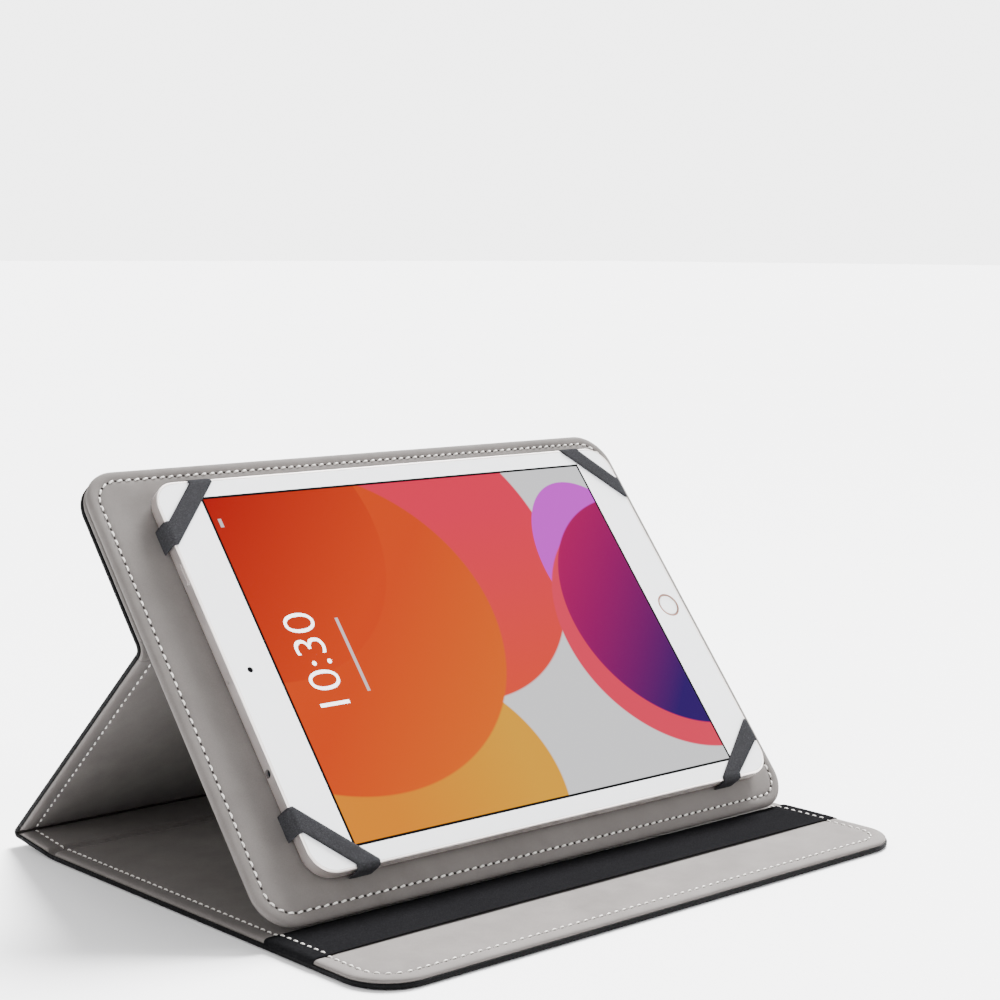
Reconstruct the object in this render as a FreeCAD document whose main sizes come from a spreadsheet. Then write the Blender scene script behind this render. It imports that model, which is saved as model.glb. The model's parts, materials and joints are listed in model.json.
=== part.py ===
import FreeCAD, Part
import Sketcher
import math
import os

# A tablet computer held by four elastic corner straps in a folding stand folio.
# The folio is a chain of stiff panels joined by leather folds: front cover (flat on the
# table), spine, stand panel, back panel.  The holder plate is glued to the back panel and
# carries the tablet.  Every panel is drawn lying flat in its own frame, its outer leather
# at height 0 and its near fold at y = 0, and its Placement turns it into the stand pose.
# X runs along the long side, Y to the rear, Z up; the origin is under the middle.

V = FreeCAD.Vector
ON_PLANE = 1e-6

DIMENSIONS = (
    # folio outline and fold geometry
    ("case_width", 286.0),
    ("cover_depth", 215.7),
    ("spine_length", 31.46),
    ("stand_length", 136.75),
    ("back_length", 77.6),
    ("spine_tilt", 6.57),
    ("stand_turn", 130.77),
    ("back_turn", 86.54),
    ("cover_rear", 94.14),
    ("fold_level", 0.6),
    ("cover_corner", 20.0),
    ("front_setback", 3.0),
    ("spine_setback", 7.5),
    ("back_setback", 2.5),
    # panel build-up: outer leather, board, microfibre lining
    ("skin_thick", 1.0),
    ("board_thick", 1.6),
    ("lining_thick", 1.0),
    ("lining_inset", 0.8),
    ("board_inset", 4.0),
    ("lining_round", 0.9),
    ("skin_round", 0.5),
    ("glue_thick", 0.4),
    ("glue_inset", 12.0),
    # holder plate that carries the tablet
    ("holder_length", 200.0),
    ("holder_corner", 16.0),
    ("holder_backing_thick", 1.0),
    ("holder_board_thick", 2.1),
    ("holder_lining_thick", 0.9),
    ("holder_round", 1.7),
    ("backing_inset", 1.0),
    ("backing_round", 0.5),
    # elastic band across the front cover
    ("band_centre", -163.8),
    ("band_width", 29.4),
    ("band_thick", 0.7),
    # tablet outline
    ("tablet_length", 250.6),
    ("tablet_height", 174.1),
    ("tablet_thick", 7.5),
    ("tablet_corner", 11.0),
    ("tablet_shift", 6.7),
    ("tablet_rise", -21.9),
    ("back_edge_round", 3.4),
    ("rim_chamfer", 0.35),
    ("rim_wall", 0.9),
    ("side_wall", 1.6),
    ("floor_thick", 0.9),
    ("glass_thick", 1.0),
    ("gasket_thick", 0.2),
    ("glass_gap", 0.1),
    ("mask_thick", 0.1),
    # display stack
    ("screen_length", 207.8),
    ("screen_height", 155.9),
    ("display_border", 1.6),
    ("display_thick", 1.5),
    ("backlight_thick", 0.4),
    ("shield_thick", 0.2),
    # home button
    ("home_centre", 115.5),
    ("home_ring_outer", 5.75),
    ("home_ring_inner", 5.05),
    ("home_cap_radius", 4.75),
    ("home_cap_dip", 0.25),
    ("home_cap_thick", 1.0),
    ("home_switch_thick", 0.6),
    ("home_bracket_thick", 0.35),
    ("home_travel", 0.25),
    ("home_hole_gap", 0.12),
    # side buttons
    ("key_length", 10.0),
    ("key_height", 2.2),
    ("key_level", 4.9),
    ("key_proud", 0.45),
    ("key_gap", 0.3),
    ("flange_length", 12.0),
    ("flange_height", 2.6),
    ("flange_thick", 0.5),
    ("flange_gap", 0.15),
    ("switch_gap", 0.45),
    ("power_centre", 46.0),
    ("volume_up_centre", -82.0),
    ("volume_down_centre", -67.0),
    # ports
    ("port_level", 3.9),
    ("charge_level", 3.0),
    ("jack_centre", -42.0),
    ("jack_radius", 1.8),
    ("jack_depth", 14.0),
    ("mic_centre", -2.5),
    ("mic_radius", 0.6),
    ("port_width", 8.6),
    ("port_height", 2.6),
    ("port_depth", 7.2),
    ("speaker_start", 22.0),
    ("speaker_pitch", 2.4),
    ("speaker_hole", 0.7),
    # cameras
    ("front_camera_place", -116.0),
    ("front_camera_radius", 1.5),
    ("rear_camera_x", -112.0),
    ("rear_camera_y", 74.0),
    ("rear_lens_radius", 3.6),
    # corner straps
    ("strap_width", 11.0),
    ("strap_thick", 0.8),
    ("strap_gap", 0.25),
    ("strap_lift", 0.05),
    ("strap_depth", 2.7),
    ("slot_play", 0.15),
)

# corner of the tablet, its side in x and y, and where the strap's outer edge meets
# the long and the short side, measured from the corner
STRAPS = (
    ("corner_strap_upper_left", -1, 1, 18.0, 18.0),
    ("corner_strap_upper_right", 1, 1, 15.5, 17.5),
    ("corner_strap_lower_left", -1, -1, 18.0, 18.0),
    ("corner_strap_lower_right", 1, -1, 20.5, 14.5),
)
SPEAKER_HOLES = 11

doc = FreeCAD.newDocument("Tablet_in_stand_folio")
sheet = doc.addObject("Spreadsheet::Sheet", "Dims")


class Size:
    """A length or angle that carries its number and its sheet expression together."""

    def __init__(self, value, text):
        self.value = value
        self.text = text

    def __add__(self, other):
        other = as_size(other)
        return Size(self.value + other.value, "({} + {})".format(self.text, other.text))

    def __sub__(self, other):
        other = as_size(other)
        return Size(self.value - other.value, "({} - {})".format(self.text, other.text))

    def __mul__(self, other):
        other = as_size(other)
        return Size(self.value * other.value, "({} * {})".format(self.text, other.text))

    def __truediv__(self, other):
        other = as_size(other)
        return Size(self.value / other.value, "({} / {})".format(self.text, other.text))

    def __neg__(self):
        return self * -1


def as_size(number):
    if isinstance(number, Size):
        return number
    return Size(float(number), "({:g})".format(number))


def sine(angle):
    return Size(math.sin(math.radians(angle.value)), "sin({})".format(angle.text))


def cosine(angle):
    return Size(math.cos(math.radians(angle.value)), "cos({})".format(angle.text))


def tangent(angle):
    return Size(math.tan(math.radians(angle.value)), "tan({})".format(angle.text))


class Dims:
    """Driving dimensions by name, bound to the sheet."""


def fill_sheet():
    named = Dims()
    for row, (name, value) in enumerate(DIMENSIONS, start=1):
        sheet.set("A{}".format(row), name)
        sheet.set("B{}".format(row), "{:g}".format(value))
        sheet.setAlias("B{}".format(row), name)
        setattr(named, name, Size(float(value), "Dims.{}".format(name)))
    doc.recompute()
    return named


d = fill_sheet()


class Frame:
    """Where a panel sits: its turn about X and the position of its local origin."""

    def __init__(self, angle, y, z, x=None):
        self.angle = angle
        self.x = x or as_size(0)
        self.y = y
        self.z = z

    def shifted(self, x, along, out):
        y = self.y + along * cosine(self.angle) - out * sine(self.angle)
        z = self.z + along * sine(self.angle) + out * cosine(self.angle)
        return Frame(self.angle, y, z, x)


def next_frame(axis_y, axis_z, angle):
    """Frame of a panel that turns about a fold axis held at fold_level above its leather."""
    return Frame(angle, axis_y + d.fold_level * sine(angle), axis_z - d.fold_level * cosine(angle))


def fold_axes():
    """Positions of the three fold axes in the stand pose, as (y, z) pairs."""
    front = (d.cover_rear, d.fold_level)
    spine_angle = d.spine_tilt
    rear = (
        front[0] + d.spine_length * cosine(spine_angle),
        front[1] + d.spine_length * sine(spine_angle),
    )
    stand_angle = spine_angle + d.stand_turn
    top = (
        rear[0] + d.stand_length * cosine(stand_angle),
        rear[1] + d.stand_length * sine(stand_angle),
    )
    return front, rear, top


FRONT_AXIS, REAR_AXIS, TOP_AXIS = fold_axes()
COVER = Frame(as_size(0), d.cover_rear, as_size(0))
SPINE = next_frame(FRONT_AXIS[0], FRONT_AXIS[1], d.spine_tilt)
STAND = next_frame(REAR_AXIS[0], REAR_AXIS[1], d.spine_tilt + d.stand_turn)
BACK = next_frame(TOP_AXIS[0], TOP_AXIS[1], d.spine_tilt + d.stand_turn - d.back_turn)
LINING_TOP = d.skin_thick + d.board_thick + d.lining_thick
HOLDER_BACK = LINING_TOP + d.glue_thick
HOLDER_THICK = d.holder_backing_thick + d.holder_board_thick + d.holder_lining_thick
HOLDER_FRONT = HOLDER_BACK + HOLDER_THICK
TABLET = BACK.shifted(d.tablet_shift, d.tablet_rise, HOLDER_FRONT)
HALF_WIDTH = d.case_width / 2
HALF_LENGTH = d.tablet_length / 2
HALF_HEIGHT = d.tablet_height / 2
GLASS_BACK = d.tablet_thick - d.glass_thick
LEDGE = GLASS_BACK - d.gasket_thick

subparts = []


# ---------------------------------------------------------------- sketch helpers


def new_body(label, frame):
    body = doc.addObject("PartDesign::Body", label)
    body.Label = label
    body.AllowCompound = True
    body.Placement = FreeCAD.Placement(
        V(frame.x.value, frame.y.value, frame.z.value),
        FreeCAD.Rotation(V(1, 0, 0), frame.angle.value),
    )
    body.setExpression("Placement.Base.x", frame.x.text)
    body.setExpression("Placement.Base.y", frame.y.text)
    body.setExpression("Placement.Base.z", frame.z.text)
    if frame is not COVER:
        body.setExpression("Placement.Rotation.Angle", frame.angle.text)
    subparts.append(body)
    return body


def new_sketch(body, level, plane="XY_Plane"):
    """Empty sketch on one of the body's origin planes, moved along the plane's normal."""
    level = as_size(level)
    sketch = body.newObject("Sketcher::SketchObject", body.Label + "_sketch")
    support = [item for item in body.Origin.OriginFeatures if item.Role == plane][0]
    sketch.AttachmentSupport = [(support, "")]
    sketch.MapMode = "FlatFace"
    sketch.AttachmentOffset = FreeCAD.Placement(V(0, 0, level.value), FreeCAD.Rotation())
    sketch.setExpression("AttachmentOffset.Base.z", level.text)
    return sketch


def pin(sketch, kind, geometry, point, target):
    """Hold one point of the sketch at a coordinate taken from the sheet."""
    target = as_size(target)
    index = sketch.addConstraint(Sketcher.Constraint(kind, -1, 1, geometry, point, target.value))
    sketch.setExpression("Constraints[{}]".format(index), target.text)


def draw_circle(sketch, x, y, radius):
    x, y, radius = as_size(x), as_size(y), as_size(radius)
    centre = V(x.value, y.value, 0)
    index = sketch.addGeometry(Part.Circle(centre, V(0, 0, 1), radius.value), False)
    pin(sketch, "DistanceX", index, 3, x)
    pin(sketch, "DistanceY", index, 3, y)
    size = sketch.addConstraint(Sketcher.Constraint("Radius", index, radius.value))
    sketch.setExpression("Constraints[{}]".format(size), radius.text)


def draw_polygon(sketch, points):
    points = [(as_size(x), as_size(y)) for x, y in points]
    lines = []
    for number, (x, y) in enumerate(points):
        following = points[(number + 1) % len(points)]
        start = V(x.value, y.value, 0)
        end = V(following[0].value, following[1].value, 0)
        lines.append(sketch.addGeometry(Part.LineSegment(start, end), False))
    for number, line in enumerate(lines):
        after = lines[(number + 1) % len(lines)]
        sketch.addConstraint(Sketcher.Constraint("Coincident", line, 2, after, 1))
        pin(sketch, "DistanceX", line, 1, points[number][0])
        pin(sketch, "DistanceY", line, 1, points[number][1])


def draw_rectangle(sketch, left, right, low, high, front_radius=None, rear_radius=None):
    """Rectangle whose two corners at the low side and two at the high side may be round."""
    left, right, low, high = as_size(left), as_size(right), as_size(low), as_size(high)
    corners = (
        (left, low, 1, 1, front_radius),
        (right, low, -1, 1, front_radius),
        (right, high, -1, -1, rear_radius),
        (left, high, 1, -1, rear_radius),
    )
    if front_radius is None and rear_radius is None:
        draw_polygon(sketch, [(x, y) for x, y, *_ in corners])
        return
    trims = [0.0 if radius is None else radius.value for *_, radius in corners]
    lines = []
    for number in range(4):
        x, y = corners[number][0].value, corners[number][1].value
        after = (number + 1) % 4
        end_x, end_y = corners[after][0].value, corners[after][1].value
        step = V(end_x - x, end_y - y, 0).normalize()
        start = V(x, y, 0) + step * trims[number]
        end = V(end_x, end_y, 0) - step * trims[after]
        lines.append(sketch.addGeometry(Part.LineSegment(start, end), False))
    for number in range(4):
        kind = "Horizontal" if number % 2 == 0 else "Vertical"
        sketch.addConstraint(Sketcher.Constraint(kind, lines[number]))
    pin(sketch, "DistanceY", lines[0], 1, low)
    pin(sketch, "DistanceX", lines[1], 1, right)
    pin(sketch, "DistanceY", lines[2], 1, high)
    pin(sketch, "DistanceX", lines[3], 1, left)
    for number, (x, y, inward_x, inward_y, radius) in enumerate(corners):
        before, after = lines[number - 1], lines[number]
        if radius is None:
            sketch.addConstraint(Sketcher.Constraint("Coincident", before, 2, after, 1))
            continue
        size = radius.value
        centre = V(x.value + inward_x * size, y.value + inward_y * size, 0)
        circle = Part.Circle(centre, V(0, 0, 1), size)
        start = math.radians(180 + 90 * number)
        arc = sketch.addGeometry(Part.ArcOfCircle(circle, start, start + math.pi / 2), False)
        sketch.addConstraint(Sketcher.Constraint("Tangent", before, 2, arc, 1))
        sketch.addConstraint(Sketcher.Constraint("Tangent", arc, 2, after, 1))
        held = sketch.addConstraint(Sketcher.Constraint("Radius", arc, size))
        sketch.setExpression("Constraints[{}]".format(held), radius.text)


def draw_centred(sketch, x, y, width, height, radius=None):
    x, y, width, height = as_size(x), as_size(y), as_size(width), as_size(height)
    draw_rectangle(
        sketch, x - width / 2, x + width / 2, y - height / 2, y + height / 2, radius, radius
    )


# ---------------------------------------------------------------- feature helpers


def pad(sketch, length, both_ways=False):
    length = as_size(length)
    body = sketch.getParentGeoFeatureGroup()
    feature = body.newObject("PartDesign::Pad", body.Label + "_pad")
    feature.Profile = sketch
    feature.Length = length.value
    feature.setExpression("Length", length.text)
    feature.Midplane = both_ways
    doc.recompute()
    return feature


def pocket(sketch, length, towards_normal=False):
    length = as_size(length)
    body = sketch.getParentGeoFeatureGroup()
    before = body.Shape.Volume
    feature = body.newObject("PartDesign::Pocket", body.Label + "_pocket")
    feature.Profile = sketch
    feature.Length = length.value
    feature.setExpression("Length", length.text)
    feature.Reversed = towards_normal
    doc.recompute()
    if body.Shape.Volume > before - ON_PLANE:
        raise RuntimeError("{}: a pocket removed nothing".format(body.Label))
    return feature


def level_edges(shape, height, smallest=0.0):
    """Names of the edges that lie in the plane at one height."""
    names = []
    for number, edge in enumerate(shape.Edges, start=1):
        box = edge.BoundBox
        flat = abs(box.ZMin - height) < ON_PLANE and abs(box.ZMax - height) < ON_PLANE
        if flat and box.DiagonalLength > smallest:
            names.append("Edge{}".format(number))
    return names


def outer_edges(shape, height):
    """Edges at one height that belong to the outline of the plate, not to its holes."""
    faces = [face for face in shape.Faces if abs(face.BoundBox.ZMin - height) < ON_PLANE]
    faces = [face for face in faces if abs(face.BoundBox.ZMax - height) < ON_PLANE]
    rim = [edge for face in faces for edge in face.OuterWire.Edges]
    names = []
    for number, edge in enumerate(shape.Edges, start=1):
        if any(edge.isSame(other) for other in rim):
            names.append("Edge{}".format(number))
    return names


def round_edges(feature, edges, radius, kind="PartDesign::Fillet"):
    body = feature.getParentGeoFeatureGroup()
    softened = body.newObject(kind, body.Label + "_edge")
    softened.Base = (feature, edges)
    if kind == "PartDesign::Chamfer":
        softened.Size = radius.value
        softened.setExpression("Size", radius.text)
    else:
        softened.Radius = radius.value
        softened.setExpression("Radius", radius.text)
    feature.Visibility = False
    doc.recompute()
    return softened


def plate(label, frame, left, right, low, high, level, thick, front=None, rear=None):
    body = new_body(label, frame)
    sketch = new_sketch(body, level)
    draw_rectangle(sketch, left, right, low, high, front, rear)
    pad(sketch, thick)
    return body


def blocks(label, frame, level, thick, rectangles, radius=None):
    """Group of separate blocks of one height; each rectangle is centre x, y, width, height."""
    body = new_body(label, frame)
    sketch = new_sketch(body, level)
    for x, y, width, height in rectangles:
        draw_centred(sketch, x, y, width, height, radius)
    pad(sketch, thick)
    return body


def discs(label, frame, level, thick, circles):
    body = new_body(label, frame)
    sketch = new_sketch(body, level)
    for x, y, radius in circles:
        draw_circle(sketch, x, y, radius)
    pad(sketch, thick)
    return body


# ---------------------------------------------------------------- folio panels


class Panel:
    """One stiff section of the folio, from its near fold to its far end."""

    def __init__(self, name, frame, low, high, front_radius=None, rear_radius=None):
        self.name = name
        self.frame = frame
        self.low = as_size(low)
        self.high = as_size(high)
        self.front_radius = front_radius
        self.rear_radius = rear_radius

    def inset(self, amount, front_fold, rear_fold):
        """Outline drawn in by an amount on its free sides only."""
        low = self.low if front_fold else self.low + amount
        high = self.high if rear_fold else self.high - amount
        front = self.front_radius - amount if self.front_radius else None
        rear = self.rear_radius - amount if self.rear_radius else None
        return (-HALF_WIDTH + amount, HALF_WIDTH - amount, low, high, front, rear)


def draw_outline(sketch, outline):
    draw_rectangle(sketch, *outline)


def panel_skin(panel):
    """Outer leather."""
    body = new_body(panel.name + "_skin", panel.frame)
    sketch = new_sketch(body, 0)
    draw_outline(sketch, panel.inset(as_size(0), False, False))
    sheet_pad = pad(sketch, d.skin_thick)
    round_edges(sheet_pad, level_edges(sheet_pad.Shape, 0), d.skin_round)


def panel_board(panel):
    """Stiffening board, held back from the folds like the free edges."""
    body = new_body(panel.name + "_board", panel.frame)
    sketch = new_sketch(body, d.skin_thick)
    draw_outline(sketch, panel.inset(d.board_inset, False, False))
    pad(sketch, d.board_thick)


def panel_lining(panel, fold_low, fold_high):
    """Microfibre lining: covers the board and wraps down round its edge."""
    body = new_body(panel.name + "_lining", panel.frame)
    sketch = new_sketch(body, d.skin_thick)
    draw_outline(sketch, panel.inset(d.lining_inset, fold_low, fold_high))
    cover = pad(sketch, d.board_thick + d.lining_thick)
    edges = level_edges(cover.Shape, LINING_TOP.value)
    round_edges(cover, edges, d.lining_round)
    hollow = new_sketch(body, d.skin_thick)
    draw_outline(hollow, panel.inset(d.board_inset, False, False))
    pocket(hollow, d.board_thick, towards_normal=True)


def folio_panel(panel, fold_low, fold_high):
    panel_skin(panel)
    panel_board(panel)
    panel_lining(panel, fold_low, fold_high)


def front_cover():
    panel = Panel(
        "front_cover", COVER, -d.cover_depth, -d.front_setback, front_radius=d.cover_corner
    )
    folio_panel(panel, False, True)


def spine():
    panel = Panel("spine", SPINE, d.front_setback, d.spine_length - d.spine_setback)
    folio_panel(panel, True, True)


def stand_panel():
    panel = Panel("stand_panel", STAND, d.spine_setback, d.stand_length - d.back_setback)
    folio_panel(panel, True, True)


def back_panel():
    panel = Panel(
        "back_panel", BACK, d.back_setback, d.back_length, rear_radius=d.holder_corner
    )
    folio_panel(panel, True, False)


def fold_strip(label, frame, start, setback, turn, inward):
    """Leather bent round one fold, between the skins of the two panels it joins."""
    neutral = setback / tangent(turn / 2)
    body = new_body(label, frame)
    if inward:
        outer, inner = neutral + d.fold_level, neutral + d.fold_level - d.skin_thick
        centre = outer
    else:
        inner, outer = neutral - d.fold_level, neutral - d.fold_level + d.skin_thick
        centre = -inner
    sketch = new_sketch(body, -start, "XZ_Plane")
    if inward:
        draw_rectangle(sketch, -HALF_WIDTH, HALF_WIDTH, -outer, -inner)
    else:
        draw_rectangle(sketch, -HALF_WIDTH, HALF_WIDTH, inner, outer)
    sketch.AttachmentOffset = FreeCAD.Placement(
        V(0, centre.value, -start.value), FreeCAD.Rotation()
    )
    sketch.setExpression("AttachmentOffset.Base.y", centre.text)
    turned = body.newObject("PartDesign::Revolution", label + "_bend")
    turned.Profile = sketch
    turned.ReferenceAxis = (sketch, ["H_Axis"])
    turned.Angle = turn.value
    turned.setExpression("Angle", turn.text)
    turned.Reversed = not inward
    doc.recompute()


def fold_strips():
    fold_strip("front_fold_strip", COVER, -d.front_setback, d.front_setback, d.spine_tilt, True)
    fold_strip(
        "spine_fold_strip",
        SPINE,
        d.spine_length - d.spine_setback,
        d.spine_setback,
        d.stand_turn,
        True,
    )
    fold_strip(
        "stand_fold_strip",
        STAND,
        d.stand_length - d.back_setback,
        d.back_setback,
        d.back_turn,
        False,
    )


def elastic_band():
    """Woven elastic stretched across the front cover and down over both side edges."""
    body = new_body("elastic_band", COVER)
    edge = HALF_WIDTH - d.lining_inset
    foot = d.skin_thick + 0.05
    top = LINING_TOP + d.band_thick
    profile = new_sketch(body, -d.band_centre, "XZ_Plane")
    outer = edge + d.band_thick
    draw_polygon(
        profile,
        [
            (-outer, foot),
            (-edge, foot),
            (-edge, LINING_TOP),
            (edge, LINING_TOP),
            (edge, foot),
            (outer, foot),
            (outer, top),
            (-outer, top),
        ],
    )
    pad(profile, d.band_width, both_ways=True)


# ---------------------------------------------------------------- holder plate


def holder_outline(amount):
    low = d.back_length - d.holder_length + amount
    high = d.back_length - amount
    radius = d.holder_corner - amount
    return (-HALF_WIDTH + amount, HALF_WIDTH - amount, low, high, radius, radius)


def strap_feet(strap):
    """The two places where a strap goes down beside the tablet, as x, y, width, height."""
    _, side_x, side_y, reach_x, reach_y = strap
    out = d.strap_gap + d.strap_thick / 2
    long_side = (
        (HALF_LENGTH - reach_x - d.strap_width / 2) * side_x,
        (HALF_HEIGHT + out) * side_y,
        d.strap_width,
        d.strap_thick,
    )
    short_side = (
        (HALF_LENGTH + out) * side_x,
        (HALF_HEIGHT - reach_y - d.strap_width / 2) * side_y,
        d.strap_thick,
        d.strap_width,
    )
    return long_side, short_side


def draw_strap_slots(sketch):
    for strap in STRAPS:
        for x, y, width, height in strap_feet(strap):
            draw_centred(
                sketch,
                x + d.tablet_shift,
                y + d.tablet_rise,
                width + d.slot_play * 2,
                height + d.slot_play * 2,
            )


def holder_adhesive():
    plate(
        "holder_adhesive",
        BACK,
        -HALF_WIDTH + d.glue_inset,
        HALF_WIDTH - d.glue_inset,
        d.back_setback + d.glue_inset / 2,
        d.back_length - d.glue_inset,
        LINING_TOP,
        d.glue_thick,
    )


def holder_backing():
    body = new_body("holder_backing", BACK)
    sketch = new_sketch(body, HOLDER_BACK)
    draw_outline(sketch, holder_outline(d.backing_inset))
    back = pad(sketch, d.holder_backing_thick)
    round_edges(back, level_edges(back.Shape, HOLDER_BACK.value), d.backing_round)


def holder_board():
    level = HOLDER_BACK + d.holder_backing_thick
    body = new_body("holder_board", BACK)
    sketch = new_sketch(body, level)
    draw_outline(sketch, holder_outline(d.board_inset))
    pad(sketch, d.holder_board_thick)
    slots = new_sketch(body, level + d.holder_board_thick)
    draw_strap_slots(slots)
    pocket(slots, d.holder_board_thick)


def holder_lining():
    level = HOLDER_BACK + d.holder_backing_thick
    body = new_body("holder_lining", BACK)
    sketch = new_sketch(body, level)
    draw_outline(sketch, holder_outline(as_size(0)))
    cover = pad(sketch, d.holder_board_thick + d.holder_lining_thick)
    edges = level_edges(cover.Shape, HOLDER_FRONT.value)
    round_edges(cover, edges, d.holder_round)
    hollow = new_sketch(body, level)
    draw_outline(hollow, holder_outline(d.board_inset))
    pocket(hollow, d.holder_board_thick, towards_normal=True)
    slots = new_sketch(body, HOLDER_FRONT)
    draw_strap_slots(slots)
    pocket(slots, d.holder_lining_thick)


def corner_strap(strap):
    """Elastic strap across one corner of the tablet, sewn into two slots of the holder."""
    label, side_x, side_y, reach_x, reach_y = strap
    body = new_body(label, TABLET)
    level = d.tablet_thick + d.strap_lift
    out = d.strap_gap + d.strap_thick
    edge_x = HALF_LENGTH + out
    edge_y = HALF_HEIGHT + out
    near_x = HALF_LENGTH - reach_x
    near_y = HALF_HEIGHT - reach_y
    outline = [
        (near_x, edge_y),
        (near_x - d.strap_width, edge_y),
        (edge_x, near_y - d.strap_width),
        (edge_x, near_y),
    ]
    top = new_sketch(body, level)
    draw_polygon(top, [(x * side_x, y * side_y) for x, y in outline])
    pad(top, d.strap_thick)
    feet = new_sketch(body, -d.strap_depth)
    for x, y, width, height in strap_feet(strap):
        draw_centred(feet, x, y, width, height)
    pad(feet, level + d.strap_depth + d.strap_thick)


# ---------------------------------------------------------------- tablet shell and display


def rear_housing():
    body = new_body("rear_housing", TABLET)
    outline = new_sketch(body, 0)
    draw_centred(outline, 0, 0, d.tablet_length, d.tablet_height, d.tablet_corner)
    block = pad(outline, d.tablet_thick)
    rounded = round_edges(block, level_edges(block.Shape, 0), d.back_edge_round)
    rim = level_edges(rounded.Shape, d.tablet_thick.value)
    round_edges(rounded, rim, d.rim_chamfer, "PartDesign::Chamfer")
    seat = new_sketch(body, d.tablet_thick)
    draw_centred(
        seat,
        0,
        0,
        d.tablet_length - d.rim_wall * 2,
        d.tablet_height - d.rim_wall * 2,
        d.tablet_corner - d.rim_wall,
    )
    pocket(seat, d.tablet_thick - LEDGE)
    cavity = new_sketch(body, LEDGE)
    draw_centred(
        cavity,
        0,
        0,
        d.tablet_length - d.side_wall * 2,
        d.tablet_height - d.side_wall * 2,
        d.tablet_corner - d.side_wall,
    )
    pocket(cavity, LEDGE - d.floor_thick)
    left_holes = new_sketch(body, -HALF_LENGTH + d.side_wall * 2, "YZ_Plane")
    draw_circle(left_holes, d.jack_centre, d.port_level, d.jack_radius)
    draw_circle(left_holes, d.mic_centre, d.port_level, d.mic_radius)
    draw_key_hole(left_holes, d.power_centre)
    pocket(left_holes, d.side_wall * 3)
    right_holes = new_sketch(body, HALF_LENGTH + d.side_wall, "YZ_Plane")
    draw_centred(
        right_holes, 0, d.charge_level, d.port_width, d.port_height, d.port_height / 2.2
    )
    for side in (-1, 1):
        for number in range(SPEAKER_HOLES):
            along = (d.speaker_start + d.speaker_pitch * number) * side
            draw_circle(right_holes, along, d.port_level, d.speaker_hole)
    pocket(right_holes, d.side_wall * 3)
    top_holes = new_sketch(body, -HALF_HEIGHT + d.side_wall * 2, "XZ_Plane")
    draw_key_hole(top_holes, d.volume_up_centre)
    draw_key_hole(top_holes, d.volume_down_centre)
    pocket(top_holes, d.side_wall * 3)
    lens = new_sketch(body, d.floor_thick)
    draw_circle(lens, d.rear_camera_x, d.rear_camera_y, d.rear_lens_radius)
    pocket(lens, d.floor_thick)


def draw_key_hole(sketch, centre):
    height = d.key_height + d.key_gap * 2
    draw_centred(sketch, centre, d.key_level, d.key_length + d.key_gap * 2, height, height / 2.1)


def glass_outline(sketch, amount):
    draw_centred(
        sketch,
        0,
        0,
        d.tablet_length - amount * 2,
        d.tablet_height - amount * 2,
        d.tablet_corner - amount,
    )


def cover_glass():
    body = new_body("cover_glass", TABLET)
    sketch = new_sketch(body, GLASS_BACK)
    glass_outline(sketch, d.rim_wall + d.glass_gap)
    draw_circle(sketch, d.home_centre, 0, d.home_ring_outer + d.home_hole_gap)
    pane = pad(sketch, d.glass_thick)
    round_edges(pane, outer_edges(pane.Shape, d.tablet_thick.value), d.glass_gap)


def bezel_mask():
    """White ink frame printed behind the glass."""
    body = new_body("bezel_mask", TABLET)
    sketch = new_sketch(body, GLASS_BACK - d.mask_thick)
    glass_outline(sketch, d.side_wall + d.glass_gap)
    draw_centred(sketch, 0, 0, d.screen_length, d.screen_height)
    draw_circle(sketch, d.home_centre, 0, d.home_ring_outer + d.home_hole_gap)
    draw_circle(sketch, d.front_camera_place, 0, d.front_camera_radius)
    pad(sketch, d.mask_thick)


def display_gasket():
    body = new_body("display_gasket", TABLET)
    sketch = new_sketch(body, LEDGE)
    glass_outline(sketch, d.rim_wall + d.glass_gap)
    glass_outline(sketch, d.side_wall)
    pad(sketch, d.gasket_thick)


def display_layer(label, top, thick, border):
    width = d.screen_length + border * 2
    height = d.screen_height + border * 2
    blocks(label, TABLET, top - thick, thick, [(0, 0, width, height)])


def display_stack():
    panel_top = GLASS_BACK - d.mask_thick
    backlight_top = panel_top - d.display_thick
    shield_top = backlight_top - d.backlight_thick
    display_layer("display_panel", panel_top, d.display_thick, d.display_border)
    display_layer("display_backlight", backlight_top, d.backlight_thick, d.display_border)
    display_layer("display_shield", shield_top, d.shield_thick, d.display_border * 0.6)


# ---------------------------------------------------------------- tablet buttons


def home_button():
    """White cap with a shallow dish, sliding in its metal ring."""
    body = new_body("home_button", TABLET)
    top = d.tablet_thick - 0.05
    sketch = new_sketch(body, top - d.home_cap_thick)
    draw_circle(sketch, d.home_centre, 0, d.home_cap_radius)
    cap = pad(sketch, d.home_cap_thick)
    round_edges(cap, level_edges(cap.Shape, top.value), d.home_cap_dip)
    dish = new_sketch(body, top)
    draw_circle(dish, d.home_centre, 0, d.home_cap_radius - 0.6)
    pocket(dish, d.home_cap_dip / 2)


def home_button_ring():
    body = new_body("home_button_ring", TABLET)
    sketch = new_sketch(body, GLASS_BACK - d.mask_thick)
    draw_circle(sketch, d.home_centre, 0, d.home_ring_outer)
    draw_circle(sketch, d.home_centre, 0, d.home_ring_inner)
    pad(sketch, d.glass_thick + d.mask_thick)


def home_switch_top():
    return d.tablet_thick - 0.05 - d.home_cap_thick - d.home_travel * 1.6


def home_button_switch():
    thick = d.home_switch_thick
    circle = (d.home_centre, 0, 2.2)
    discs("home_button_switch", TABLET, home_switch_top() - thick, thick, [circle])


def home_button_bracket():
    level = home_switch_top() - d.home_switch_thick - d.home_bracket_thick
    block = (d.home_centre, 0, 12.0, 24.0)
    blocks("home_button_bracket", TABLET, level, d.home_bracket_thick, [block])


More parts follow.
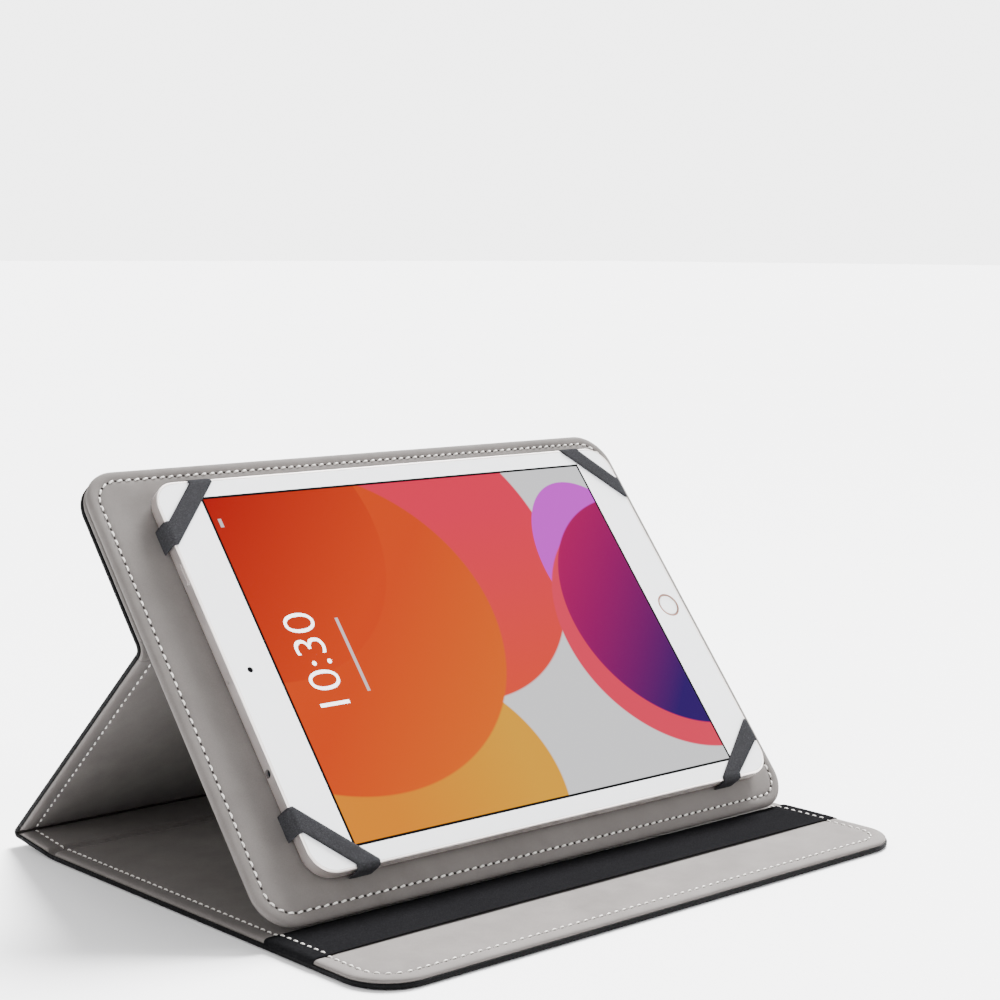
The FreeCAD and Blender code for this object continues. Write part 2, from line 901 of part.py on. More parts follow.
def side_key(label, plane, centre, edge, inwards):
    """Button cap that shows through a slot in the wall, with a flange behind it."""
    body = new_body(label, TABLET)
    start = edge - d.key_proud * inwards
    wall_back = edge + (d.side_wall + d.flange_gap) * inwards
    sign = 1 if plane == "YZ_Plane" else -1
    cap = new_sketch(body, start * sign, plane)
    draw_centred(
        cap, centre, d.key_level, d.key_length, d.key_height, d.key_height / 2.1
    )
    pad(cap, d.key_proud + d.side_wall + d.flange_gap)
    flange = new_sketch(body, wall_back * sign, plane)
    draw_centred(flange, centre, d.key_level, d.flange_length, d.flange_height)
    pad(flange, d.flange_thick)


def side_keys():
    side_key("power_button", "YZ_Plane", d.power_centre, -HALF_LENGTH, 1)
    side_key("volume_up_button", "XZ_Plane", d.volume_up_centre, HALF_HEIGHT, -1)
    side_key("volume_down_button", "XZ_Plane", d.volume_down_centre, HALF_HEIGHT, -1)


def key_switches():
    depth = d.side_wall + d.flange_gap + d.flange_thick + d.switch_gap
    middle = depth + 0.75
    level = d.key_level - 1.0
    blocks(
        "power_button_switch",
        TABLET,
        level,
        2.0,
        [(-HALF_LENGTH + middle, d.power_centre, 1.5, 4.0)],
    )
    blocks(
        "volume_button_switches",
        TABLET,
        level,
        2.0,
        [
            (d.volume_up_centre, HALF_HEIGHT - middle, 4.0, 1.5),
            (d.volume_down_centre, HALF_HEIGHT - middle, 4.0, 1.5),
        ],
    )


# ---------------------------------------------------------------- tablet internals


def batteries():
    level = d.floor_thick + 0.1
    blocks("battery_left", TABLET, level, 3.0, [(-36.0, 0, 74.0, 140.0)], as_size(1.5))
    blocks("battery_right", TABLET, level, 3.0, [(42.0, 0, 74.0, 140.0)], as_size(1.5))


def logic_board():
    body = new_body("logic_board", TABLET)
    sketch = new_sketch(body, d.floor_thick + 0.3)
    draw_polygon(
        sketch,
        [
            (-106.0, -58.0),
            (-78.0, -58.0),
            (-78.0, 64.0),
            (-118.0, 64.0),
            (-118.0, 8.0),
            (-106.0, 8.0),
        ],
    )
    pad(sketch, 0.8)


def board_shields():
    blocks(
        "board_shields",
        TABLET,
        d.floor_thick + 1.1,
        1.2,
        [
            (-92.0, -40.0, 22.0, 26.0),
            (-92.0, -8.0, 22.0, 28.0),
            (-96.0, 26.0, 28.0, 24.0),
            (-98.0, 52.0, 24.0, 18.0),
        ],
        as_size(0.8),
    )


def board_screws():
    circles = [(-103.0, -24.0, 0.9), (-80.0, 12.0, 0.9), (-114.0, 12.0, 0.9), (-80.0, 60.0, 0.9)]
    discs("board_screws", TABLET, d.floor_thick + 1.1, 0.7, circles)


def display_cable():
    blocks("display_cable", TABLET, d.floor_thick + 2.35, 0.2, [(-90.0, -8.0, 20.0, 16.0)])


def speakers():
    centre = d.speaker_start + d.speaker_pitch * (SPEAKER_HOLES - 1) / 2
    x = HALF_LENGTH - d.side_wall - 8.0
    blocks(
        "speakers",
        TABLET,
        d.floor_thick + 0.1,
        2.9,
        [(x, centre, 15.0, 30.0), (x, -centre, 15.0, 30.0)],
        as_size(1.5),
    )


def antennas():
    y = HALF_HEIGHT - d.side_wall - 3.0
    blocks(
        "antennas",
        TABLET,
        d.floor_thick + 0.1,
        0.3,
        [(-40.0, y, 46.0, 5.0), (40.0, y, 46.0, 5.0)],
    )


def microphone():
    x = -HALF_LENGTH + d.side_wall + 1.4
    blocks("microphone", TABLET, d.port_level - 1.0, 2.0, [(x, d.mic_centre, 2.4, 3.6)])


def headphone_jack():
    body = new_body("headphone_jack", TABLET)
    length = d.jack_depth - d.side_wall + 1.0
    x = -HALF_LENGTH + d.side_wall + length / 2
    shell = new_sketch(body, d.port_level - 2.5)
    draw_centred(shell, x, d.jack_centre, length, 6.4)
    pad(shell, 5.0)
    bore = new_sketch(body, -HALF_LENGTH + d.jack_depth, "YZ_Plane")
    draw_circle(bore, d.jack_centre, d.port_level, d.jack_radius)
    pocket(bore, d.jack_depth)


def charging_port():
    """Socket with a flat contact tongue inside."""
    body = new_body("charging_port", TABLET)
    length = d.port_depth + 1.6
    face = HALF_LENGTH - d.side_wall
    shell = new_sketch(body, d.charge_level - 1.75)
    draw_centred(shell, face - length / 2, 0, length, d.port_width + 2.4)
    pad(shell, 3.5)
    mouth = new_sketch(body, face, "YZ_Plane")
    draw_centred(mouth, 0, d.charge_level, d.port_width, d.port_height, d.port_height / 2.2)
    draw_centred(mouth, 0, d.charge_level, d.port_width - 2.4, 0.7)
    pocket(mouth, d.port_depth)


def cameras():
    discs(
        "front_camera",
        TABLET,
        LEDGE - 3.0,
        3.1,
        [(d.front_camera_place, 0, 3.0)],
    )
    discs(
        "rear_camera",
        TABLET,
        d.floor_thick + 0.1,
        4.2,
        [(d.rear_camera_x, d.rear_camera_y, 4.6)],
    )
    discs(
        "rear_camera_lens",
        TABLET,
        0.05,
        d.floor_thick - 0.1,
        [(d.rear_camera_x, d.rear_camera_y, d.rear_lens_radius - 0.1)],
    )


# ---------------------------------------------------------------- build and write


def build_all():
    front_cover()
    elastic_band()
    spine()
    stand_panel()
    back_panel()
    fold_strips()
    holder_adhesive()
    holder_backing()
    holder_board()
    holder_lining()
    for strap in STRAPS:
        corner_strap(strap)
    rear_housing()
    cover_glass()
    bezel_mask()
    display_gasket()
    display_stack()
    home_button()
    home_button_ring()
    home_button_switch()
    home_button_bracket()
    side_keys()
    key_switches()
    batteries()
    logic_board()
    board_shields()
    board_screws()
    display_cable()
    speakers()
    antennas()
    microphone()
    headphone_jack()
    charging_port()
    cameras()


def check_document():
    for item in doc.Objects:
        if "Invalid" in item.State or "Error" in item.State:
            raise RuntimeError("{} is {}".format(item.Label, item.State))
    for body in subparts:
        if body.Shape.isNull() or not body.Shape.isValid() or not body.Shape.Solids:
            raise RuntimeError("{} has no valid solid".format(body.Label))


def write_subparts():
    os.makedirs("parts", exist_ok=True)
    for body in subparts:
        body.Shape.exportStep("parts/{}.step".format(body.Label))


build_all()
doc.recompute()
check_document()
write_subparts()
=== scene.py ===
import json
import math

import bmesh
import bpy
from mathutils import Matrix, Vector, noise


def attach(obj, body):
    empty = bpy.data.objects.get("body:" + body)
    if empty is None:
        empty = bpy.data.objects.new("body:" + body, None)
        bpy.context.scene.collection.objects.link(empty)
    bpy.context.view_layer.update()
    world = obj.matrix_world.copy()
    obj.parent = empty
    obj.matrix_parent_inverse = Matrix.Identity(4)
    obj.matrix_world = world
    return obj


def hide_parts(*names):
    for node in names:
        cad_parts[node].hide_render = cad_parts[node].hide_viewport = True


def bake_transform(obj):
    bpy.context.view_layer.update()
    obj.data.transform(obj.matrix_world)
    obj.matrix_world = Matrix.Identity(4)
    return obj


# A tablet computer strapped into a folding stand folio.  Lengths are in millimetres
# and turn into metres where a mesh is made.  Each panel of the folio has its own plane:
# x along the fold, s away from its near fold, h up from its outer leather.

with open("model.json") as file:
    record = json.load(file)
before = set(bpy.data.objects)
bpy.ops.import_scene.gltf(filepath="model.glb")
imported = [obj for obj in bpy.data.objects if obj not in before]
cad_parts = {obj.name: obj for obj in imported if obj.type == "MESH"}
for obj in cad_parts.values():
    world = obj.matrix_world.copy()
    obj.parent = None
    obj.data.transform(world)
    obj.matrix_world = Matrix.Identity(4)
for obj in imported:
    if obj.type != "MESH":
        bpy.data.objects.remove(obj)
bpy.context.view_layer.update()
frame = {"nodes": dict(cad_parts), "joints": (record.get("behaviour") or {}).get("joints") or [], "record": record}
NODES = frame["nodes"]
MM = 0.001

# ---------------------------------------------------------------- sizes shared with the CAD

HALF_WIDTH = 143.0
COVER_DEPTH = 215.7
FOLD_LEVEL = 0.6
FRONT_SETBACK = 3.0
REAR_SETBACK = 7.5
TOP_SETBACK = 2.5
BACK_LENGTH = 77.6
HOLDER_LENGTH = 200.0
HOLDER_BACK = 4.0
HOLDER_FRONT = 8.0
COVER_CORNER = 20.0
HOLDER_CORNER = 16.0
SKIN = 1.0
LINING_TOP = 3.6
BAND_CENTRE = -163.8
BAND_WIDTH = 29.4
TABLET_SHIFT = 6.7
TABLET_RISE = -21.9
TABLET_LENGTH = 250.6
TABLET_HEIGHT = 174.1
TABLET_THICK = 7.5
BACK_ANGLE = math.radians(50.8)


class Plane:
    """Frame of one panel."""

    def __init__(self, y, z, angle):
        self.y, self.z, self.angle = y, z, angle
        self.along = Vector((0, math.cos(angle), math.sin(angle)))
        self.out = Vector((0, -math.sin(angle), math.cos(angle)))

    def at(self, x, s, h):
        return (Vector((x, self.y, self.z)) + self.along * s + self.out * h) * MM


def fold_axis(name):
    joint = [j for j in frame["joints"] if j["name"] == name][0]
    return joint["pos_m"][1] / MM, joint["pos_m"][2] / MM


def plane_at_fold(axis, angle):
    return Plane(
        axis[0] + FOLD_LEVEL * math.sin(angle), axis[1] - FOLD_LEVEL * math.cos(angle), angle
    )


FRONT_AXIS = fold_axis("cover_hinge")
REAR_AXIS = fold_axis("stand_hinge")
TOP_AXIS = fold_axis("back_hinge")
SPINE_ANGLE = math.atan2(REAR_AXIS[1] - FRONT_AXIS[1], REAR_AXIS[0] - FRONT_AXIS[0])
STAND_ANGLE = math.atan2(TOP_AXIS[1] - REAR_AXIS[1], TOP_AXIS[0] - REAR_AXIS[0])
SPINE_LENGTH = math.dist(FRONT_AXIS, REAR_AXIS)
STAND_LENGTH = math.dist(REAR_AXIS, TOP_AXIS)
COVER = plane_at_fold(FRONT_AXIS, 0.0)
SPINE = plane_at_fold(FRONT_AXIS, SPINE_ANGLE)
STAND = plane_at_fold(REAR_AXIS, STAND_ANGLE)
BACK = plane_at_fold(TOP_AXIS, BACK_ANGLE)
tablet_base = BACK.at(TABLET_SHIFT, TABLET_RISE, HOLDER_FRONT) / MM
TABLET = Plane(tablet_base.y, tablet_base.z, BACK_ANGLE)


# ---------------------------------------------------------------- node material helper


class Shader:
    """One procedural material, built around a Principled BSDF."""

    def __init__(self, name, rough=0.5, metallic=0.0, specular=0.5):
        self.material = bpy.data.materials.new(name)
        self.material.use_nodes = True
        self.tree = self.material.node_tree
        self.bsdf = self.tree.nodes["Principled BSDF"]
        self.bsdf.inputs["Roughness"].default_value = rough
        self.bsdf.inputs["Metallic"].default_value = metallic
        self.bsdf.inputs["Specular IOR Level"].default_value = specular

    def new(self, kind, **settings):
        node = self.tree.nodes.new(kind)
        for key, value in settings.items():
            setattr(node, key, value)
        return node

    def link(self, source, target):
        self.tree.links.new(source, target)

    def put(self, value, socket):
        if isinstance(value, bpy.types.NodeSocket):
            self.link(value, socket)
        else:
            socket.default_value = value

    def math(self, operation, first, second=0.0):
        node = self.new("ShaderNodeMath", operation=operation)
        self.put(first, node.inputs[0])
        self.put(second, node.inputs[1])
        return node.outputs[0]

    def vector(self, operation, first, second):
        node = self.new("ShaderNodeVectorMath", operation=operation)
        self.put(first, node.inputs[0])
        self.put(second, node.inputs[1])
        return node.outputs["Value" if operation == "DOT_PRODUCT" else "Vector"]

    def place(self, source="Object"):
        return self.new("ShaderNodeTexCoord").outputs[source]

    def noise(self, scale, detail=2.0, rough=0.5):
        node = self.new("ShaderNodeTexNoise")
        node.inputs["Scale"].default_value = scale
        node.inputs["Detail"].default_value = detail
        node.inputs["Roughness"].default_value = rough
        self.link(self.place(), node.inputs["Vector"])
        return node.outputs["Fac"]

    def cells(self, scale, feature, jitter=1.0):
        node = self.new("ShaderNodeTexVoronoi", feature=feature)
        node.inputs["Scale"].default_value = scale
        node.inputs["Randomness"].default_value = jitter
        self.link(self.place(), node.inputs["Vector"])
        return node.outputs["Distance"]

    def span(self, value, low, high, out_low=0.0, out_high=1.0):
        node = self.new("ShaderNodeMapRange", clamp=True)
        self.link(value, node.inputs["Value"])
        node.inputs["From Min"].default_value = low
        node.inputs["From Max"].default_value = high
        node.inputs["To Min"].default_value = out_low
        node.inputs["To Max"].default_value = out_high
        return node.outputs["Result"]

    def mix(self, factor, first, second):
        node = self.new("ShaderNodeMix", data_type="RGBA")
        self.put(factor, node.inputs["Factor"])
        self.put(first, node.inputs[6])
        self.put(second, node.inputs[7])
        return node.outputs[2]

    def colour(self, value):
        self.put(value, self.bsdf.inputs["Base Color"])

    def roughness(self, value):
        self.link(value, self.bsdf.inputs["Roughness"])

    def bump(self, height, strength, distance, below=None):
        node = self.new("ShaderNodeBump")
        node.inputs["Strength"].default_value = strength
        node.inputs["Distance"].default_value = distance
        self.link(height, node.inputs["Height"])
        if below:
            self.link(below, node.inputs["Normal"])
        return node.outputs["Normal"]

    def normal(self, value):
        self.link(value, self.bsdf.inputs["Normal"])


def rgb(red, green, blue):
    """Linear colour from display values of 0 to 255."""
    return tuple((c / 255) ** 2.2 for c in (red, green, blue)) + (1.0,)


def leather_material():
    """Black pebbled leather, a little shinier and paler where it is rubbed."""
    m = Shader("black_leather", rough=0.6, specular=0.06)
    broad = m.noise(18, 3)
    rubbed = m.span(m.noise(60, 5, 0.65), 0.5, 0.78)
    pebble = m.span(m.cells(900, "SMOOTH_F1"), 0.05, 0.65)
    crease = m.span(m.cells(260, "DISTANCE_TO_EDGE"), 0.0, 0.12)
    tone = m.mix(broad, rgb(15, 15, 16), rgb(22, 22, 23))
    tone = m.mix(m.math("MULTIPLY", rubbed, 0.17), tone, rgb(38, 38, 40))
    tone = m.mix(m.math("MULTIPLY", pebble, 0.45), tone, rgb(7, 7, 8))
    m.colour(tone)
    m.roughness(m.span(rubbed, 0.0, 1.0, 0.64, 0.54))
    fine = m.bump(m.math("SUBTRACT", 1.0, pebble), 0.55, 0.00022)
    m.normal(m.bump(crease, 0.25, 0.0002, fine))
    return m.material


def lining_material():
    """Warm grey microfibre: soft nap, faint mottling and brushed streaks."""
    m = Shader("grey_microfibre", rough=0.86, specular=0.12)
    m.bsdf.inputs["Sheen Weight"].default_value = 0.06
    m.bsdf.inputs["Sheen Roughness"].default_value = 0.45
    m.bsdf.inputs["Sheen Tint"].default_value = rgb(214, 209, 206)
    cloud = m.span(m.noise(14, 3, 0.55), 0.3, 0.7)
    brushed = m.span(m.noise(75, 4, 0.6), 0.3, 0.7)
    nap = m.noise(2600, 2, 0.7)
    tone = m.mix(cloud, rgb(92, 88, 86), rgb(102, 98, 96))
    tone = m.mix(m.math("MULTIPLY", brushed, 0.35), tone, rgb(111, 107, 104))
    tone = m.mix(m.math("MULTIPLY", m.span(nap, 0.35, 0.65), 0.22), tone, rgb(70, 67, 65))
    m.colour(tone)
    m.roughness(m.span(brushed, 0.0, 1.0, 0.92, 0.8))
    soft = m.bump(brushed, 0.12, 0.0006)
    m.normal(m.bump(nap, 0.3, 0.00012, soft))
    return m.material


# Deep between the ribs, worn on them, lint, and the dull patches.
ELASTIC_TINTS = ((15, 15, 16), (33, 33, 34), (46, 46, 48), (18, 18, 19))
RIB_PITCH = 0.62
PICK_PITCH = 0.5


def woven_material(name, shade):
    """Black woven elastic: ribs along the band crossed by fine picks, from its own UVs."""
    m = Shader(name, rough=0.88, specular=0.0)
    split = m.new("ShaderNodeSeparateXYZ")
    m.link(m.place("UV"), split.inputs[0])
    rib = m.math("SINE", m.math("MULTIPLY", split.outputs["Y"], 2 * math.pi / RIB_PITCH))
    pick = m.math("SINE", m.math("MULTIPLY", split.outputs["X"], 2 * math.pi / PICK_PITCH))
    weave = m.span(m.math("MULTIPLY", rib, pick), -1.0, 1.0)
    fuzz = m.noise(1800, 3, 0.7)
    deep, worn, lint, dull = [rgb(*(shade * c for c in tint)) for tint in ELASTIC_TINTS]
    tone = m.mix(weave, deep, worn)
    tone = m.mix(m.math("MULTIPLY", m.span(fuzz, 0.45, 0.75), 0.4), tone, lint)
    tone = m.mix(m.math("MULTIPLY", m.noise(40, 3), 0.35), tone, dull)
    m.colour(tone)
    m.roughness(m.span(weave, 0.0, 1.0, 0.86, 0.72))
    m.normal(m.bump(weave, 0.6, 0.00022, m.bump(fuzz, 0.2, 0.0001)))
    return m.material


def thread_material():
    m = Shader("waxed_thread", rough=0.6, specular=0.4)
    twist = m.cells(1500, "SMOOTH_F1")
    dust = m.noise(120, 3)
    tone = m.mix(m.span(twist, 0.1, 0.7), rgb(238, 235, 230), rgb(188, 184, 178))
    m.colour(m.mix(m.math("MULTIPLY", dust, 0.35), tone, rgb(200, 195, 188)))
    m.normal(m.bump(twist, 0.5, 0.00015))
    return m.material


# Needle holes: dark colour painted in as painted shade inside each hole.
def hole_shade_material():
    m = Shader("needle_hole", rough=0.9, specular=0.1)
    m.colour(m.mix(m.noise(900, 2), rgb(26, 24, 23), rgb(44, 41, 39)))
    return m.material


def metal_material(name, low, high, rough):
    """Bead-blasted metal: fine grain, faint clouding, small changes of gloss."""
    m = Shader(name, rough=rough, metallic=1.0)
    speck = m.noise(2200, 3, 0.6)
    cloud = m.noise(30, 3)
    m.colour(m.mix(m.math("MULTIPLY", m.math("ADD", speck, cloud), 0.5), low, high))
    m.roughness(m.span(cloud, 0.3, 0.7, rough - 0.05, rough + 0.07))
    m.normal(m.bump(speck, 0.12, 0.00004))
    return m.material


def moulded_material(name, low, high, rough, speck=1400, depth=0.15):
    m = Shader(name, rough=rough)
    grain = m.noise(speck, 3, 0.6)
    cloud = m.noise(45, 3)
    m.colour(m.mix(m.math("MULTIPLY", m.math("ADD", grain, cloud), 0.5), low, high))
    m.roughness(m.span(cloud, 0.3, 0.7, max(rough - 0.06, 0.04), rough + 0.06))
    m.normal(m.bump(grain, depth, 0.00006))
    return m.material


def board_material():
    """Solder mask with faint copper tracks underneath."""
    m = Shader("circuit_board", rough=0.35)
    tracks = m.span(m.cells(320, "DISTANCE_TO_EDGE", jitter=0.35), 0.03, 0.08)
    m.colour(m.mix(tracks, rgb(46, 110, 92), rgb(12, 62, 52)))
    m.normal(m.bump(tracks, 0.3, 0.00008))
    return m.material


def tablet_place(m):
    """Coordinates on the tablet's face in millimetres, as separate sockets."""
    base = tuple(TABLET.at(TABLET_SHIFT, 0, 0))
    moved = m.vector("SUBTRACT", m.place(), base)
    across = m.math("MULTIPLY", m.vector("DOT_PRODUCT", moved, (1, 0, 0)), 1000)
    up = m.math("MULTIPLY", m.vector("DOT_PRODUCT", moved, tuple(TABLET.along)), 1000)
    return across, up


# The display, in millimetres from its middle.
DISPLAY_HALF = (103.6, 77.7)
DARK_LINE = 1.1
CAMERA_EYE = (-116, 0)
EYE_RADIUS = 1.25
SOFT_EDGE = 0.12
# Middle and half size of the bar beside the clock and of the small mark in the corner.
SCREEN_MARKS = ((-66.5, 0, 0.75, 17.0), (-100.2, 66.0, 0.8, 2.0))
WALLPAPER_GROUND = (0.98, 0.98, 1.0, 1)
# Centre, radii, what the colour runs along and from where to where, and its two colours.
WALLPAPER_DISCS = (
    ((-66, -66), (74, 62), ("across", -80, -6), (1.0, 0.3, 0.0, 1), (1.0, 0.45, 0.01, 1)),
    ((-8, 44), (72, 74), ("up", -30, 60), (1.0, 0.07, 0.03, 1), (1.0, 0.02, 0.08, 1)),
    ((-72, 14), (86, 76), ("slant", -60, 40), (0.88, 0.07, 0, 1), (1, 0.16, 0, 1)),
    ((-98, 62), (72, 70), ("slant", -190, -70), (0.5, 0, 0, 1), (0.86, 0.06, 0, 1)),
    ((88, 26), (34, 44), None, (0.85, 0.04, 0.95, 1), None),
    ((112, -10), (66, 62), None, (1.0, 0.04, 0.1, 1), None),
    ((117, -1), (62, 60), ("slant", 30, 140), (0.5, 0, 0.12, 1), (0.03, 0, 0.15, 1)),
)


def disc(m, a, b, centre, radii, soft=0.012):
    """Mask of an ellipse: 1 inside, 0 outside."""
    x = m.math("DIVIDE", m.math("SUBTRACT", a, centre[0]), radii[0])
    y = m.math("DIVIDE", m.math("SUBTRACT", b, centre[1]), radii[1])
    square = m.math("ADD", m.math("MULTIPLY", x, x), m.math("MULTIPLY", y, y))
    return m.span(square, 1 + soft, 1 - soft)


def rectangle(m, a, b, half_a, half_b):
    """Mask of a rectangle about the middle, with edges softened a little."""
    across = m.span(m.math("ABSOLUTE", a), half_a + SOFT_EDGE, half_a - SOFT_EDGE)
    upward = m.span(m.math("ABSOLUTE", b), half_b + SOFT_EDGE, half_b - SOFT_EDGE)
    return m.math("MULTIPLY", across, upward)


def wallpaper(m, a, b):
    """Plain discs laid over each other, each in one colour or a run of two."""
    runs = {"across": a, "up": b, "slant": m.math("SUBTRACT", a, b)}
    art = WALLPAPER_GROUND
    for centre, radii, run, first, second in WALLPAPER_DISCS:
        colour = first
        if run:
            colour = m.mix(m.span(runs[run[0]], run[1], run[2]), first, second)
        art = m.mix(disc(m, a, b, centre, radii), art, colour)
    return art


def screen_material():
    """Front glass: white ink border, dark line, and a lit display of plain overlapping discs."""
    m = Shader("front_glass", rough=0.06, specular=0.06)
    a, b = tablet_place(m)
    marks = []
    for centre_a, centre_b, half_a, half_b in SCREEN_MARKS:
        away_a, away_b = m.math("SUBTRACT", a, centre_a), m.math("SUBTRACT", b, centre_b)
        marks.append(rectangle(m, away_a, away_b, half_a, half_b))
    shown = m.math("MULTIPLY", m.math("ADD", *marks), 0.8)
    art = m.mix(shown, wallpaper(m, a, b), (1, 1, 1, 1))
    lit = rectangle(m, a, b, *DISPLAY_HALF)
    border = rectangle(m, a, b, *(half + DARK_LINE for half in DISPLAY_HALF))
    eye = disc(m, a, b, CAMERA_EYE, (EYE_RADIUS, EYE_RADIUS), 0.15)
    ink = m.mix(m.noise(20, 2), rgb(243, 244, 247), rgb(247, 248, 250))
    dark = m.math("MAXIMUM", border, eye)
    m.colour(m.mix(dark, ink, rgb(14, 14, 16)))
    m.link(art, m.bsdf.inputs["Emission Color"])
    m.link(lit, m.bsdf.inputs["Emission Strength"])
    m.roughness(m.span(m.noise(70, 4, 0.6), 0.35, 0.7, 0.05, 0.085))
    return m.material


MATERIALS = {
    "outer_leather": leather_material(),
    "lining": lining_material(),
    "elastic": woven_material("woven_elastic", 1.0),
    "strap_elastic": woven_material("woven_strap", 1.9),
    "aluminium": metal_material("blasted_aluminium", rgb(228, 220, 217), rgb(240, 233, 230), 0.42),
    "glass_front": screen_material(),
    "white_ink": moulded_material("white_ink", rgb(238, 239, 242), rgb(247, 248, 250), 0.35),
    "gasket": moulded_material("seal_rubber", rgb(28, 28, 28), rgb(44, 44, 45), 0.7),
    "display": moulded_material("display_panel", rgb(22, 22, 28), rgb(34, 34, 42), 0.2),
    "backlight": moulded_material("light_guide", rgb(232, 236, 228), rgb(246, 248, 242), 0.3),
    "shield_metal": metal_material("pressed_steel", rgb(184, 184, 186), rgb(206, 206, 208), 0.4),
    "battery_wrap": moulded_material("battery_film", rgb(44, 44, 47), rgb(62, 62, 66), 0.55),
    "circuit_board": board_material(),
    "flex_cable": moulded_material("cable_film", rgb(150, 96, 40), rgb(186, 128, 62), 0.35),
    "button_white": moulded_material("button_white", rgb(240, 241, 244), rgb(249, 250, 251), 0.12),
    "ring_metal": metal_material("rose_ring", rgb(176, 138, 128), rgb(206, 168, 156), 0.22),
    "plastic_black": moulded_material("black_plastic", rgb(26, 26, 28), rgb(42, 42, 45), 0.5),
    "lens_glass": moulded_material("lens_glass", rgb(14, 14, 20), rgb(30, 30, 40), 0.08),
    "contact_metal": metal_material("plated_contact", rgb(214, 182, 110), rgb(236, 206, 140), 0.3),
    "board": moulded_material("grey_board", rgb(120, 116, 110), rgb(146, 142, 136), 0.85, 700, 0.3),
    "adhesive": moulded_material("adhesive_film", rgb(214, 212, 204), rgb(228, 226, 220), 0.5),
    "thread": thread_material(),
    "needle_hole": hole_shade_material(),
}


def dress_cad_nodes():
    slots = {item["node"]: item["material_slot"] for item in frame["record"]["subparts"]}
    for name, node in NODES.items():
        node.data.materials.clear()
        node.data.materials.append(MATERIALS[slots[name]])


# ---------------------------------------------------------------- mesh helpers


def make_mesh(name, points, faces, material, uvs=None):
    """New object from points in metres.  Faces are turned outwards; UVs go by vertex."""
    mesh = bpy.data.meshes.new(name)
    mesh.from_pydata([tuple(p) for p in points], [], faces)
    if uvs:
        layer = mesh.uv_layers.new(name="UVMap")
        for loop in mesh.loops:
            layer.data[loop.index].uv = uvs[loop.vertex_index]
    work = bmesh.new()
    work.from_mesh(mesh)
    bmesh.ops.recalc_face_normals(work, faces=work.faces)
    work.to_mesh(mesh)
    work.free()
    mesh.polygons.foreach_set("use_smooth", [True] * len(mesh.polygons))
    mesh.materials.append(MATERIALS[material])
    thing = bpy.data.objects.new(name, mesh)
    bpy.context.scene.collection.objects.link(thing)
    return thing


def finish_piece(piece, body, slot, *replaced):
    if body:
        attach(piece, body)
    if replaced:
        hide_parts(*replaced)
    return piece


ARC_STEPS = 16


def corner_points(centre, radius, start):
    """Quarter circle from a start angle in degrees."""
    points = []
    for step in range(ARC_STEPS + 1):
        angle = math.radians(start + 90 * step / ARC_STEPS)
        x = centre[0] + radius * math.cos(angle)
        s = centre[1] + radius * math.sin(angle)
        points.append((x, s))
    return points


def straight_points(start, end, count):
    """Points strictly between two ends."""
    points = []
    for step in range(1, count):
        share = step / count
        points.append(
            (start[0] + (end[0] - start[0]) * share, start[1] + (end[1] - start[1]) * share)
        )
    return points


STEP = 1.4
LEAST_RADIUS = 0.05


def outline(inset, low, high, radius, closed):
    """Edge of a panel drawn in by an inset.  Open outlines start and end at the fold,
    at s = high, and go round the free end at s = low.  The count of points never
    depends on the inset, so outlines at several insets join into quads."""
    wide = HALF_WIDTH - inset
    turn = max(radius - inset, LEAST_RADIUS)
    reach = max(radius, inset + LEAST_RADIUS)
    centre_x = HALF_WIDTH - reach
    side_count = int((high - low - radius) / STEP)
    end_count = int((HALF_WIDTH - radius) * 2 / STEP)
    low_left = corner_points((-centre_x, low + reach), turn, 180)
    low_right = corner_points((centre_x, low + reach), turn, 270)
    if closed:
        high_right = corner_points((centre_x, high - reach), turn, 0)
        high_left = corner_points((-centre_x, high - reach), turn, 90)
        corners = [low_left, low_right, high_right, high_left]
        counts = [end_count, side_count, end_count, side_count]
        points = []
        for number, arc in enumerate(corners):
            following = corners[(number + 1) % 4]
            points += arc + straight_points(arc[-1], following[0], counts[number])
        return points
    points = [(-wide, high)]
    points += straight_points((-wide, high), low_left[0], side_count) + low_left
    points += straight_points(low_left[-1], low_right[0], end_count) + low_right
    points += straight_points(low_right[-1], (wide, high), side_count) + [(wide, high)]
    return points


def running_length(points):
    total = [0.0]
    for first, second in zip(points, points[1:]):
        total.append(total[-1] + math.dist(first, second))
    return total


PITCH = 4.0


def pucker(profile_point, length):
    """Needle holes pull the cloth down between stitches."""
    inset, height, pull = profile_point
    if not pull:
        return height
    return height - pull * (0.5 + 0.5 * math.cos(2 * math.pi * length / PITCH))


RIPPLE_SCALE = 0.03
# How far from a side and from an end of a panel its ripples reach their full height.
EDGE_FADE = 12
END_FADE = 30


def ripple(x, s, size, seed):
    """Height of a soft wave in the cloth."""
    return size * noise.noise(Vector((x * RIPPLE_SCALE, s * RIPPLE_SCALE, seed)))


